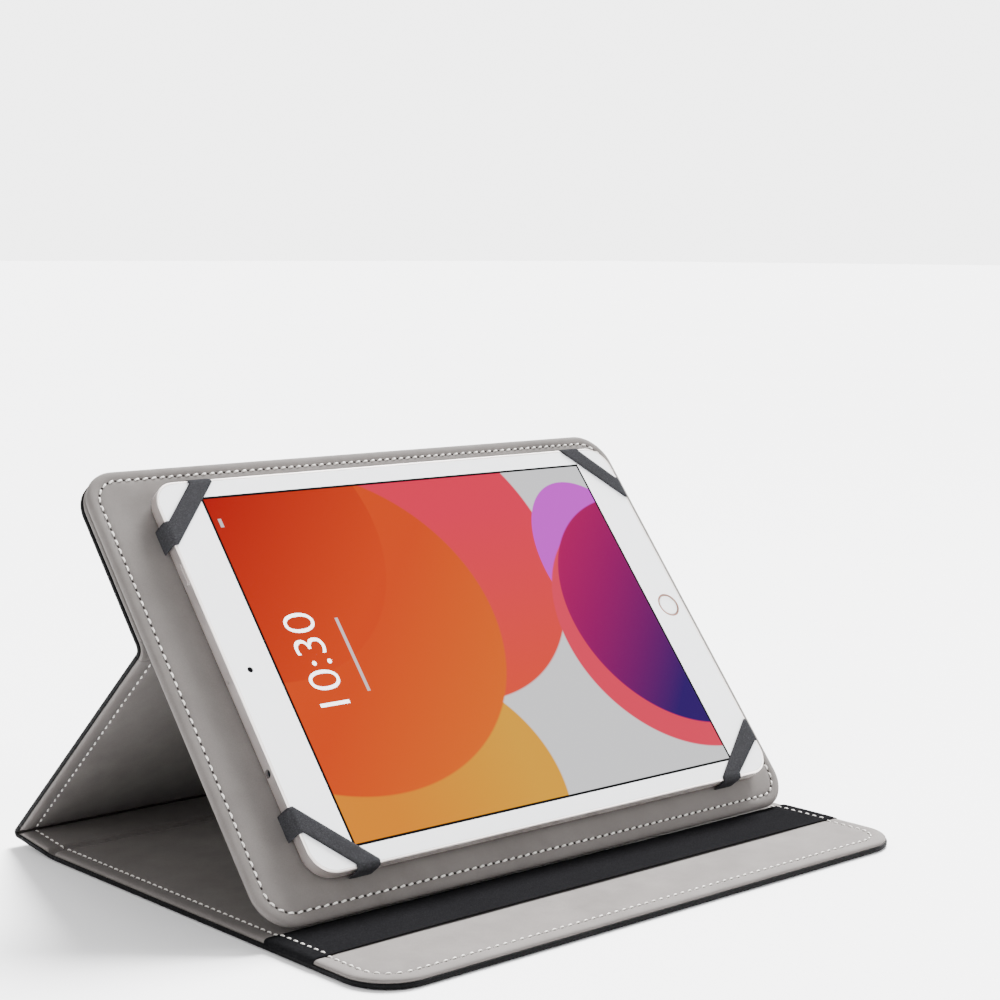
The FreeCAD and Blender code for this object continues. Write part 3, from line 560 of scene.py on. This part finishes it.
def ring_panel(name, plane, profile, low, high, radius, material, closed=False, flip=False,
               stitch_inset=7.0, wave=0.0, seed=0.0, base=0):
    """Closed solid whose edge follows a profile of (inset, height, pucker) rings.
    The first ring closes one face and the last ring the other.  flip puts the fold at
    s = low and the free end at s = high."""
    reference = running_length(outline(stitch_inset, low, high, radius, closed))
    count = len(reference)
    points, rings = [], []
    sign = -1 if flip else 1
    middle = low + high
    for ring_number, ring in enumerate(profile):
        line = outline(ring[0], low, high, radius, closed)
        start = len(points)
        for number, (x, s) in enumerate(line):
            place = middle - s if flip else s
            height = pucker(ring, reference[number])
            if wave and ring_number > base:
                fade = min(ring[0] / EDGE_FADE, (high - s) / END_FADE, 1)
                height += ripple(x, place, wave, seed) * max(fade, 0)
            points.append(plane.at(x, place, height))
        rings.append(list(range(start, start + count)))
    faces = []
    last = count if closed else count - 1
    for first, second in zip(rings, rings[1:]):
        for number in range(last):
            after = (number + 1) % count
            faces.append((first[number], first[after], second[after], second[number]))
    faces.append(tuple(rings[0]))
    faces.append(tuple(reversed(rings[-1])))
    if not closed:
        faces.append(tuple([ring[0] for ring in rings] + [ring[-1] for ring in reversed(rings)]))
    return make_mesh(name, points, faces, material)


def section(profile):
    """Cross-section over the whole width: x, height and pucker from left to right."""
    left = [(-HALF_WIDTH + inset, height, pull) for inset, height, pull in profile]
    right = [(-x, height, pull) for x, height, pull in reversed(left)]
    return left + right


SINKS_ABOVE = SKIN + 0.3


def swept_panel(name, stations, profile, material, wave=0.0, seed=0.0):
    """Closed solid swept through stations, each a (plane, s, sink, length)."""
    line = section(profile)
    points, count = [], len(line)
    top = max(height for _, height, _ in line)
    for plane, s, sink, length in stations:
        for x, height, pull in line:
            lower = pucker((0, height, pull), length)
            if sink and height > SINKS_ABOVE:
                lower = min(lower, top - sink)
            if wave and height > SKIN:
                ends = min(length, stations[-1][3] - length) / END_FADE
                fade = min((HALF_WIDTH - abs(x)) / EDGE_FADE, ends, 1)
                lower += ripple(x, s, wave, seed) * max(fade, 0)
            points.append(plane.at(x, s, lower))
    faces = []
    for number in range(len(stations) - 1):
        near, far = number * count, (number + 1) * count
        for step in range(count):
            after = (step + 1) % count
            faces.append((near + step, near + after, far + after, far + step))
    faces.append(tuple(range(count)))
    faces.append(tuple(range((len(stations) - 1) * count, len(stations) * count)))
    return make_mesh(name, points, faces, material)


# ---------------------------------------------------------------- edge profiles
# Each ring is inset from the panel's edge, height, and how far the needle pulls it down.

FAR_RINGS = (10.5, 14.0, 22.0, 34.0, 48.0)

LINING_EDGE = [
    (3.6, 1.02, 0), (1.3, 1.04, 0), (1.0, 1.45, 0), (0.82, 1.9, 0), (0.6, 2.25, 0), (0.5, 2.6, 0),
    (0.62, 2.98, 0), (0.98, 3.32, 0), (1.6, 3.54, 0), (2.5, 3.63, 0), (3.8, 3.63, 0),
    (5.2, 3.58, 0.03), (6.1, 3.47, 0.1), (6.7, 3.36, 0.17), (7.0, 3.32, 0.2), (7.3, 3.36, 0.17),
    (7.8, 3.47, 0.1), (8.8, 3.57, 0.03),
] + [(inset, 3.6, 0) for inset in FAR_RINGS]

SKIN_EDGE = [
    (3.0, 1.0, 0), (1.15, 1.02, 0), (0.78, 1.45, 0), (0.6, 1.9, 0), (0.38, 2.08, 0),
    (0.14, 1.96, 0), (0.0, 1.6, 0), (0.0, 1.0, 0), (0.0, 0.55, 0), (0.14, 0.24, 0),
    (0.5, 0.06, 0), (1.2, 0.0, 0), (4.6, 0.0, 0), (6.2, 0.03, 0), (6.7, 0.1, 0), (7.0, 0.16, 0),
    (7.3, 0.1, 0), (7.8, 0.03, 0), (9.4, 0.0, 0),
] + [(inset + 3, 0.0, 0) for inset in FAR_RINGS]

HOLDER_EDGE = [
    (3.0, 4.95, 0), (0.75, 4.98, 0), (0.3, 5.2, 0), (0.06, 5.65, 0), (0.0, 6.2, 0),
    (0.1, 6.75, 0), (0.42, 7.25, 0), (0.95, 7.62, 0), (1.7, 7.86, 0), (2.6, 7.95, 0),
    (3.5, 7.92, 0.02), (4.2, 7.82, 0.08), (4.7, 7.7, 0.16), (5.0, 7.65, 0.2), (5.3, 7.7, 0.16),
    (5.8, 7.82, 0.08), (6.7, 7.93, 0.02), (8.0, 7.98, 0),
] + [(inset + 1.0, 8.0, 0) for inset in FAR_RINGS]

BACKING_EDGE = [
    (3.0, 5.0, 0), (1.05, 4.98, 0), (1.0, 4.6, 0), (1.12, 4.25, 0), (1.5, 4.06, 0),
    (2.2, 4.0, 0), (3.6, 4.02, 0), (4.5, 4.1, 0), (5.0, 4.18, 0), (5.5, 4.1, 0), (6.4, 4.02, 0),
    (8.0, 4.0, 0),
] + [(inset + 1.0, 4.0, 0) for inset in FAR_RINGS]


# ---------------------------------------------------------------- folio panels


def lay(plane, low, high):
    """Stations across one flat panel at an even step."""
    count = max(int((high - low) / STEP), 2)
    return [
        (plane, low + (high - low) * n / count, 0.0, (high - low) * n / count)
        for n in range(count + 1)
    ]


def folio_leather():
    cover = ring_panel(
        "cover_leather", COVER, SKIN_EDGE, -COVER_DEPTH, -FRONT_SETBACK, COVER_CORNER,
        "outer_leather",
    )
    finish_piece(cover, "front_cover", "outer_leather", "front_cover_skin")
    stations = lay(SPINE, FRONT_SETBACK, SPINE_LENGTH - REAR_SETBACK)
    spine = swept_panel("spine_leather", stations, SKIN_EDGE, "outer_leather")
    finish_piece(spine, "spine", "outer_leather", "spine_skin")
    stations = lay(STAND, REAR_SETBACK, STAND_LENGTH - TOP_SETBACK)
    stand = swept_panel("stand_leather", stations, SKIN_EDGE, "outer_leather")
    finish_piece(stand, "stand_panel", "outer_leather", "stand_panel_skin")
    back = ring_panel(
        "back_leather", BACK, SKIN_EDGE, TOP_SETBACK, BACK_LENGTH, HOLDER_CORNER,
        "outer_leather", flip=True,
    )
    finish_piece(back, "tablet_holder", "outer_leather", "back_panel_skin")


def folio_lining():
    cover = ring_panel(
        "cover_lining", COVER, LINING_EDGE, -COVER_DEPTH, -FRONT_SETBACK, COVER_CORNER,
        "lining", wave=0.1, seed=1.0, base=8,
    )
    finish_piece(cover, "front_cover", "lining", "front_cover_lining")
    stations = lay(SPINE, FRONT_SETBACK, SPINE_LENGTH - REAR_SETBACK)
    spine = swept_panel("spine_lining_cloth", stations, LINING_EDGE, "lining")
    finish_piece(spine, "spine", "lining", "spine_lining")
    stations = lay(STAND, REAR_SETBACK, STAND_LENGTH - TOP_SETBACK)
    stand = swept_panel("stand_lining_cloth", stations, LINING_EDGE, "lining", 0.12, 3.0)
    finish_piece(stand, "stand_panel", "lining", "stand_panel_lining")
    back = ring_panel(
        "back_lining_cloth", BACK, LINING_EDGE, TOP_SETBACK, BACK_LENGTH, HOLDER_CORNER,
        "lining", flip=True,
    )
    finish_piece(back, "tablet_holder", "lining", "back_panel_lining")


def holder_cloth():
    low, high = BACK_LENGTH - HOLDER_LENGTH, BACK_LENGTH
    front = ring_panel(
        "holder_cloth", BACK, HOLDER_EDGE, low, high, HOLDER_CORNER, "lining",
        closed=True, stitch_inset=5.0,
    )
    finish_piece(front, "tablet_holder", "lining", "holder_lining")
    back = ring_panel(
        "holder_back_cloth", BACK, BACKING_EDGE, low, high, HOLDER_CORNER, "outer_leather",
        closed=True, stitch_inset=5.0,
    )
    finish_piece(back, "tablet_holder", "outer_leather", "holder_backing")


FOLD_STEPS = 24
RUN_STEPS = 6
REAR_REACH = 3.5


def quarter(share):
    """Rises from 0 to 1, level at the top."""
    return math.sin(math.pi / 2 * share)


class Bend:
    """Way from one panel into the next round a fold: straight on, an arc, straight on.
    The arc's ends are at its own reach from the corner that the two panels would make."""

    def __init__(self, near, near_s, setback, turn, reach=None):
        reach = reach or setback
        self.near = near
        self.straight = setback - reach
        self.turn = turn
        self.radius = reach / math.tan(abs(turn) / 2)
        self.up = 1 if turn > 0 else -1
        self.hub = near.at(0, near_s + self.straight, FOLD_LEVEL + self.up * self.radius) / MM

    def plane(self, share):
        """A plane whose s = 0 is this share of the way round the arc."""
        angle = self.near.angle + self.turn * share
        turned = Plane(0, 0, angle)
        foot = self.hub - turned.out * (FOLD_LEVEL + self.up * self.radius)
        return Plane(foot.y, foot.z, angle)

    def stations(self, valley):
        """Stations through the fold, with the lining pressed down into it by the valley."""
        first, last = self.plane(0.0), self.plane(1.0)
        steps = [step / RUN_STEPS for step in range(RUN_STEPS)] if self.straight else []
        way = []
        for share in steps:
            way.append((first, (share - 1) * self.straight, valley * quarter(share), 0.0))
        for step in range(FOLD_STEPS + 1):
            share = step / FOLD_STEPS
            inside = 1.0 if self.straight else math.sin(math.pi * min(share, 1 - share)) ** 0.5
            way.append((self.plane(share), 0.0, valley * inside, 0.0))
        for share in reversed(steps):
            way.append((last, (1 - share) * self.straight, valley * quarter(share), 0.0))
        return way


def fold_piece(name, bend, profile, material, bodies, valley, replaced, narrow=1.0):
    """One layer of a fold.  narrow is not used: the two points that it sets on the arc's chord go nowhere."""
    piece = swept_panel(name, bend.stations(valley), profile, material)
    first = bend.plane(0.0).at(0, 0, FOLD_LEVEL)
    last = bend.plane(1.0).at(0, 0, FOLD_LEVEL)
    middle = (first + last) / 2
    start, end = middle.lerp(first, narrow), middle.lerp(last, narrow)
    tuple(start)
    tuple(end)
    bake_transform(piece)
    finish_piece(piece, None, material, *replaced)


def folds():
    front = Bend(COVER, -FRONT_SETBACK, FRONT_SETBACK, SPINE_ANGLE)
    rear_turn = STAND_ANGLE - SPINE_ANGLE
    rear = Bend(SPINE, SPINE_LENGTH - REAR_SETBACK, REAR_SETBACK, rear_turn, REAR_REACH)
    top = Bend(STAND, STAND_LENGTH - TOP_SETBACK, TOP_SETBACK, BACK_ANGLE - STAND_ANGLE)
    places = (
        ("front_fold", front, ("front_cover", "spine"), 2.3, 1.0, "front_fold_strip"),
        ("rear_fold", rear, ("spine", "stand_panel"), 2.2, 0.25, "spine_fold_strip"),
        ("top_fold", top, ("stand_panel", "tablet_holder"), 0.5, 1.0, "stand_fold_strip"),
    )
    for name, bend, bodies, valley, narrow, strip in places:
        fold_piece(
            name + "_leather", bend, SKIN_EDGE, "outer_leather", bodies, 0.0, (strip,)
        )
        fold_piece(name + "_lining", bend, LINING_EDGE, "lining", bodies, valley, (), narrow)


# ---------------------------------------------------------------- stitching


def walk(points, pitch, begin):
    """Places along a line every pitch, each with its direction.  begin is in pitches."""
    lengths = running_length(points)
    places, target, number = [], pitch * begin, 0
    while target < lengths[-1]:
        while lengths[number + 1] < target:
            number += 1
        first, second = points[number], points[number + 1]
        share = (target - lengths[number]) / max(lengths[number + 1] - lengths[number], 1e-9)
        x = first[0] + (second[0] - first[0]) * share
        s = first[1] + (second[1] - first[1]) * share
        step = Vector((second[0] - first[0], second[1] - first[1])).normalized()
        places.append((x, s, step))
        target += pitch
    return places


def height_everywhere(level):
    return lambda x, s: level


STITCH_LENGTH = 2.4
STITCH_WIDTH = 0.4
STITCH_RINGS = 7
STITCH_SIDES = 8
STITCH_SLANT = math.radians(9.0)
STITCH_ARCH = 0.34
STITCH_DIVE = 0.62
STITCH_TAPER = 0.35
STITCH_FLATNESS = 0.72
THREAD_SINK = 0.16
HOLE_SIDES = 10
HOLE_FLATNESS = 0.9
# Radius and height of each ring of a needle hole, from its floor to its inner rim.
HOLE_RINGS = ((0.52, -0.3), (0.52, 0.05), (0.3, 0.0))
NOTCH = 1.2


def stitch_points(x, s, direction):
    """Rings of one stitch, which arches up in its middle and dives in at both ends."""
    turned = direction.to_3d()
    turned.rotate(Matrix.Rotation(STITCH_SLANT, 3, "Z"))
    side = Vector((-turned.y, turned.x, 0))
    for ring in range(STITCH_RINGS):
        share = ring / (STITCH_RINGS - 1) * 2 - 1
        arch = STITCH_ARCH - STITCH_DIVE * share ** 4
        slim = 1 - abs(share) ** 3 * STITCH_TAPER
        along = share * STITCH_LENGTH / 2
        for corner in range(STITCH_SIDES):
            angle = 2 * math.pi * corner / STITCH_SIDES
            wide = math.cos(angle) * STITCH_WIDTH * slim
            tall = math.sin(angle) * STITCH_WIDTH * STITCH_FLATNESS * slim
            px = x + turned.x * along + side.x * wide
            ps = s + turned.y * along + side.y * wide
            yield px, ps, arch + tall - THREAD_SINK


def hole_points(x, s, direction):
    """Rings of one needle hole, a shallow cup between two stitches, painted dark as painted shade."""
    for rim, lift in HOLE_RINGS:
        for corner in range(HOLE_SIDES):
            angle = 2 * math.pi * corner / HOLE_SIDES
            along, across = math.cos(angle) * rim, math.sin(angle) * rim * HOLE_FLATNESS
            px = x + direction.x * along - direction.y * across
            ps = s + direction.y * along + direction.x * across
            yield px, ps, lift - THREAD_SINK


def tube_faces(first, rings, sides):
    """Quads from ring to ring, and a face over each end."""
    faces = []
    for ring in range(rings - 1):
        near = first + ring * sides
        for corner in range(sides):
            after = (corner + 1) % sides
            faces.append((near + corner, near + after, near + sides + after, near + sides + corner))
    end = first + (rings - 1) * sides
    faces.append(tuple(range(first, first + sides)))
    faces.append(tuple(range(end, end + sides)))
    return faces


# Ending of the name, start of the row in pitches, shape, rings, sides and material.
ROW_PARTS = (
    ("_stitches", 0.5, stitch_points, STITCH_RINGS, STITCH_SIDES, "thread"),
    ("_needle_hole_shade", 1.0, hole_points, len(HOLE_RINGS), HOLE_SIDES, "needle_hole"),
)


def stitch_run(name, plane, line, level, out, body):
    """Row of thread stitches and the needle holes between them, as two meshes.  The holes are painted dark as
    painted shade.
    """
    for ending, begin, shape, rings, sides, material in ROW_PARTS:
        points, faces = [], []
        for x, s, direction in walk(line, PITCH, begin):
            base = level(x, s)
            faces += tube_faces(len(points), rings, sides)
            points += [plane.at(px, ps, base + out * h) for px, ps, h in shape(x, s, direction)]
        finish_piece(make_mesh(name + ending, points, faces, material), body, "lining")


def flipped(line, low, high):
    return [(x, low + high - s) for x, s in line]


# How far the rows of thread lie above or below the face they are sewn into.
OVER_BAND = 0.52
COVER_SINK = 0.16
PANEL_SINK = 0.34
HOLDER_SINK = 0.22
HOLDER_BACK_SINK = 0.42
BAND_MARGIN = 0.5
PANEL_INSET = 7.0
HOLDER_INSET = 5.0


def cover_stitch_level(x, s):
    """The side rows of stitches cross over the elastic band."""
    on_band = abs(s - BAND_CENTRE) < BAND_WIDTH / 2 + BAND_MARGIN
    return LINING_TOP + OVER_BAND if on_band else LINING_TOP - COVER_SINK


def side_lines(low, high, inset):
    wide = HALF_WIDTH - inset
    return [(-wide, low), (-wide, high)], [(wide, low), (wide, high)]


def stitching():
    inset = PANEL_INSET
    inner = height_everywhere(LINING_TOP - PANEL_SINK)
    outer = height_everywhere(PANEL_SINK)
    cover = outline(inset, -COVER_DEPTH, -NOTCH, COVER_CORNER, False)
    stitch_run("cover_inside", COVER, cover, cover_stitch_level, 1, "front_cover")
    stitch_run("cover_outside", COVER, cover, outer, -1, "front_cover")
    low, high = TOP_SETBACK, BACK_LENGTH
    back = flipped(outline(inset, low, high, HOLDER_CORNER, False), low, high)
    stitch_run("back_outside", BACK, back, outer, -1, "tablet_holder")
    panels = (
        ("spine", SPINE, NOTCH, SPINE_LENGTH - REAR_SETBACK, "spine"),
        ("stand", STAND, REAR_SETBACK, STAND_LENGTH - TOP_SETBACK, "stand_panel"),
    )
    for name, plane, low, high, body in panels:
        for side, line in zip(("left", "right"), side_lines(low, high, inset)):
            stitch_run(name + "_inside_" + side, plane, line, inner, 1, body)
            stitch_run(name + "_outside_" + side, plane, line, outer, -1, body)
    low, high = BACK_LENGTH - HOLDER_LENGTH, BACK_LENGTH
    ring = outline(HOLDER_INSET, low, high, HOLDER_CORNER, True)
    ring.append(ring[0])
    front = height_everywhere(HOLDER_FRONT - HOLDER_SINK)
    rear = height_everywhere(HOLDER_BACK + HOLDER_BACK_SINK)
    stitch_run("holder_inside", BACK, ring, front, 1, "tablet_holder")
    stitch_run("holder_outside", BACK, ring, rear, -1, "tablet_holder")


# ---------------------------------------------------------------- woven elastic


def ribbon(name, rows, thickness, material, body, replaced):
    """Closed ribbon from rows of points across its width, rounded at its two edges.
    UVs run along and across it in millimetres, for the weave."""
    across = len(rows[0])
    points, uvs, travelled = [], [], 0.0
    for number, row in enumerate(rows):
        before = rows[max(number - 1, 0)]
        after = rows[min(number + 1, len(rows) - 1)]
        middle = across // 2
        if number:
            travelled += (row[middle] - rows[number - 1][middle]).length
        for column, place in enumerate(row):
            along = (after[column] - before[column]).normalized()
            side = (row[min(column + 1, across - 1)] - row[max(column - 1, 0)]).normalized()
            out = side.cross(along).normalized()
            share = column / (across - 1) * 2 - 1
            half = thickness / 2 * (1 - abs(share) ** 8 * 0.55)
            width = (row[-1] - row[0]).length
            for way in (1, -1):
                points.append((place + out * half * way) * MM)
                uvs.append((travelled, (share + 1) / 2 * width))
    faces = []
    stride = across * 2
    for number in range(len(rows) - 1):
        near, far = number * stride, (number + 1) * stride
        for column in range(across - 1):
            for way in (0, 1):
                first, second = column * 2 + way, column * 2 + 2 + way
                faces.append((near + first, near + second, far + second, far + first))
        for column in (0, across - 1):
            first, second = column * 2, column * 2 + 1
            faces.append((near + first, near + second, far + second, far + first))
    for start in (0, (len(rows) - 1) * stride):
        for column in range(across - 1):
            first = start + column * 2
            faces.append((first, first + 2, first + 3, first + 1))
    piece = make_mesh(name, points, faces, material, uvs=uvs)
    finish_piece(piece, body, "elastic", *replaced)
    return piece


BAND_COLUMNS = 25
BAND_THICKNESS = 0.56
BAND_LEVEL = 4.0
BAND_STEP = 10.0
BAND_FREE = 131
BAND_LIFT = 0.42
BAND_WAVE = 0.05
# Inset and height from the band's foot, between leather and lining, up over the rolled edge.
BAND_EDGE = (
    (0.42, 1.3), (0.3, 1.8), (0.24, 2.4), (0.42, 3.0), (0.85, 3.5), (1.5, 3.83), (2.4, 3.95),
    (4.4, 3.96), (6.0, 3.93), (7.0, 3.88), (8.0, 3.93), (9.6, 3.97), (13.0, 4.0), (20.0, 4.0),
)


def elastic_band():
    left = [(-HALF_WIDTH + inset, height) for inset, height in BAND_EDGE]
    middle = [(x * BAND_STEP, BAND_LEVEL) for x in range(-12, 13)]
    right = [(-x, height) for x, height in reversed(left)]
    rows = []
    for x, height in left + middle + right:
        row = []
        free = max(0.0, 1 - (abs(x) / BAND_FREE) ** 6)
        for column in range(BAND_COLUMNS):
            share = column / (BAND_COLUMNS - 1)
            s = BAND_CENTRE - BAND_WIDTH / 2 + BAND_WIDTH * share
            lift = BAND_LIFT * free * max(0.0, 1 - share * 3) ** 2
            wave = BAND_WAVE * free * noise.noise(Vector((x * 0.02, s * 0.05, 7.0)))
            row.append(COVER.at(x, s, height + lift + wave) / MM)
        rows.append(row)
    band = ribbon(
        "band_weave", rows, BAND_THICKNESS, "elastic", "front_cover", ("elastic_band",)
    )


# Name, side along and across the tablet, and how far from the corner each end meets the edge.
STRAPS = (
    ("upper_left", -1, 1, 18.0, 18.0),
    ("upper_right", 1, 1, 15.5, 17.5),
    ("lower_left", -1, -1, 18.0, 18.0),
    ("lower_right", 1, -1, 20.5, 14.5),
)
STRAP_WIDTH = 11.0
STRAP_THICKNESS = 0.62
STRAP_TURN = 1.6
STRAP_COLUMNS = 11
STRAP_RISE = (-2.4, 0.0, 2.0, 4.0, 5.6, 6.6, 7.2, 7.6, 7.82)
STRAP_OUT = (0.62, 0.62, 0.62, 0.62, 0.6, 0.48, 0.2, -0.22, -0.75)
STRAP_TOP = 7.9
STRAP_SPAN = 12


def corner_strap(name, side_x, side_y, reach_x, reach_y):
    """Strap from its slot up one edge of the tablet, across the corner, down the other."""
    edge_x, edge_y = TABLET_LENGTH / 2, TABLET_HEIGHT / 2
    columns = []
    for column in range(STRAP_COLUMNS):
        share = column / (STRAP_COLUMNS - 1)
        long_x = edge_x - reach_x - STRAP_WIDTH * share
        short_y = edge_y - reach_y - STRAP_WIDTH * share
        line = [(long_x, edge_y + out, rise) for rise, out in zip(STRAP_RISE, STRAP_OUT)]
        first = Vector((long_x, edge_y - STRAP_TURN, STRAP_TOP))
        last = Vector((edge_x - STRAP_TURN, short_y, STRAP_TOP))
        for step in range(STRAP_SPAN + 1):
            place = first.lerp(last, step / STRAP_SPAN)
            line.append(tuple(place))
        for rise, out in zip(reversed(STRAP_RISE), reversed(STRAP_OUT)):
            line.append((edge_x + out, short_y, rise))
        columns.append(line)
    rows = []
    for number in range(len(columns[0])):
        row = []
        for line in columns:
            a, b, rise = line[number]
            row.append(TABLET.at(TABLET_SHIFT + a * side_x, b * side_y, rise) / MM)
        rows.append(row)
    strap = ribbon(
        "strap_" + name, rows, STRAP_THICKNESS, "strap_elastic", "tablet_holder",
        ("corner_strap_" + name,),
    )


# ---------------------------------------------------------------- clock on the display


DIGIT_SIZE = 0.0215
DIGIT_THINNING = -0.00025
DIGIT_GLOW = 0.9
DIGIT_LIFT = 0.02
CLOCK_PLACE = (-84.0, -1.5)


def clock():
    """Plain digits of a clock, lit like the display and turned to read from its long side."""
    curve = bpy.data.curves.new("clock", "FONT")
    curve.body = "10:30"
    curve.size = DIGIT_SIZE
    curve.align_x = "CENTER"
    curve.align_y = "CENTER"
    curve.offset = DIGIT_THINNING
    text = bpy.data.objects.new("clock_text", curve)
    bpy.context.scene.collection.objects.link(text)
    bpy.context.view_layer.update()
    mesh = bpy.data.meshes.new_from_object(text)
    bpy.data.objects.remove(text)
    glow = Shader("clock_digits", rough=0.2)
    glow.colour(rgb(250, 250, 250))
    faint = glow.mix(glow.noise(60, 2), rgb(255, 255, 255), rgb(250, 248, 246))
    glow.link(faint, glow.bsdf.inputs["Emission Color"])
    glow.bsdf.inputs["Emission Strength"].default_value = DIGIT_GLOW
    mesh.materials.clear()
    mesh.materials.append(glow.material)
    turn = Matrix((
        (0, -1, 0, 0),
        (TABLET.along.y, 0, TABLET.out.y, 0),
        (TABLET.along.z, 0, TABLET.out.z, 0),
        (0, 0, 0, 1),
    ))
    middle = TABLET.at(TABLET_SHIFT + CLOCK_PLACE[0], CLOCK_PLACE[1], TABLET_THICK + DIGIT_LIFT)
    mesh.transform(Matrix.Translation(middle) @ turn)
    piece = bpy.data.objects.new("clock_digits", mesh)
    bpy.context.scene.collection.objects.link(piece)
    finish_piece(piece, "tablet_holder", "glass_front")


# ---------------------------------------------------------------- stage, light, camera


ROOM_LIGHT = 0.8
BACKDROP_LIGHT = 4.6
# The room is brightest this way, which is the way that the camera looks.
BACKDROP_FACING = (0.66, 0.74, 0.12)
GLOW_FROM = 0.4
GLOW_TO = 0.9
FLOOR_SIZE = 60
FLOOR_LEVEL = -0.0004


def paper_floor():
    bpy.ops.mesh.primitive_plane_add(size=FLOOR_SIZE, location=(0, 0, FLOOR_LEVEL))
    floor = bpy.context.object
    floor.name = "floor"
    m = Shader("floor_paper", rough=0.9, specular=0.15)
    m.colour(m.mix(m.noise(3, 2), rgb(246, 246, 247), rgb(249, 249, 250)))
    floor.data.materials.append(m.material)


def studio_room():
    world = bpy.data.worlds.new("studio")
    world.use_nodes = True
    tree = world.node_tree
    facing = tree.nodes.new("ShaderNodeVectorMath")
    facing.operation = "DOT_PRODUCT"
    tree.links.new(tree.nodes.new("ShaderNodeTexCoord").outputs["Generated"], facing.inputs[0])
    facing.inputs[1].default_value = BACKDROP_FACING
    glow = tree.nodes.new("ShaderNodeMapRange")
    glow.interpolation_type = "SMOOTHSTEP"
    tree.links.new(facing.outputs["Value"], glow.inputs["Value"])
    glow.inputs["From Min"].default_value = GLOW_FROM
    glow.inputs["From Max"].default_value = GLOW_TO
    glow.inputs["To Min"].default_value = ROOM_LIGHT
    glow.inputs["To Max"].default_value = BACKDROP_LIGHT
    background = tree.nodes["Background"]
    background.inputs["Color"].default_value = (1, 1, 1, 1)
    tree.links.new(glow.outputs["Result"], background.inputs["Strength"])
    bpy.context.scene.world = world


KEY_POWER = 20
KEY_ANGLE = math.radians(26)
KEY_FROM = (0.6, 0.34, 0.72)
# Name, place, what it points at, size and power.
FILLS = (
    ("left_fill", (-1.3, -0.3, 0.75), (0, 0, 0.05), 0.9, 11),
    ("right_fill", (1.3, -0.9, 0.75), (0, 0, 0.06), 0.7, 22),
)


def soft_light(name, place, aim, size, power):
    data = bpy.data.lights.new(name, "AREA")
    data.shape = "DISK"
    data.size = size
    data.energy = power
    lamp = bpy.data.objects.new(name, data)
    lamp.location = place
    lamp.rotation_euler = (Vector(place) - Vector(aim)).to_track_quat("Z", "Y").to_euler()
    bpy.context.scene.collection.objects.link(lamp)


def lights():
    data = bpy.data.lights.new("key", "SUN")
    data.energy = KEY_POWER
    data.angle = KEY_ANGLE
    lamp = bpy.data.objects.new("key", data)
    lamp.rotation_euler = Vector(KEY_FROM).to_track_quat("Z", "Y").to_euler()
    bpy.context.scene.collection.objects.link(lamp)
    for fill in FILLS:
        soft_light(*fill)


CAMERA_AZIMUTH = math.radians(-41.92)
CAMERA_ELEVATION = math.radians(6.77)
CAMERA_ROLL = math.radians(0.31)
CAMERA_DISTANCE = 879.9
CAMERA_AIM = (10.84, -9.36, 146.54)
CAMERA_LENS = 76.48
SENSOR_WIDTH = 36
NEAREST = 0.01


def camera():
    data = bpy.data.cameras.new("camera")
    data.lens = CAMERA_LENS
    data.sensor_width = SENSOR_WIDTH
    data.clip_start = NEAREST
    eye = bpy.data.objects.new("camera", data)
    back = Vector((
        math.sin(CAMERA_AZIMUTH) * math.cos(CAMERA_ELEVATION),
        -math.cos(CAMERA_AZIMUTH) * math.cos(CAMERA_ELEVATION),
        math.sin(CAMERA_ELEVATION),
    ))
    right = Vector((0, 0, 1)).cross(back).normalized()
    up = back.cross(right)
    rolled = right * math.cos(CAMERA_ROLL) + up * math.sin(CAMERA_ROLL)
    up = back.cross(rolled)
    turn = Matrix((rolled, up, back)).transposed().to_4x4()
    place = (Vector(CAMERA_AIM) + back * CAMERA_DISTANCE) * MM
    eye.matrix_world = Matrix.Translation(place) @ turn
    bpy.context.scene.collection.objects.link(eye)
    bpy.context.scene.camera = eye


dress_cad_nodes()
folio_leather()
folio_lining()
holder_cloth()
folds()
stitching()
elastic_band()
for strap in STRAPS:
    corner_strap(*strap)
clock()
paper_floor()
studio_room()
lights()
camera()


bpy.context.view_layer.update()
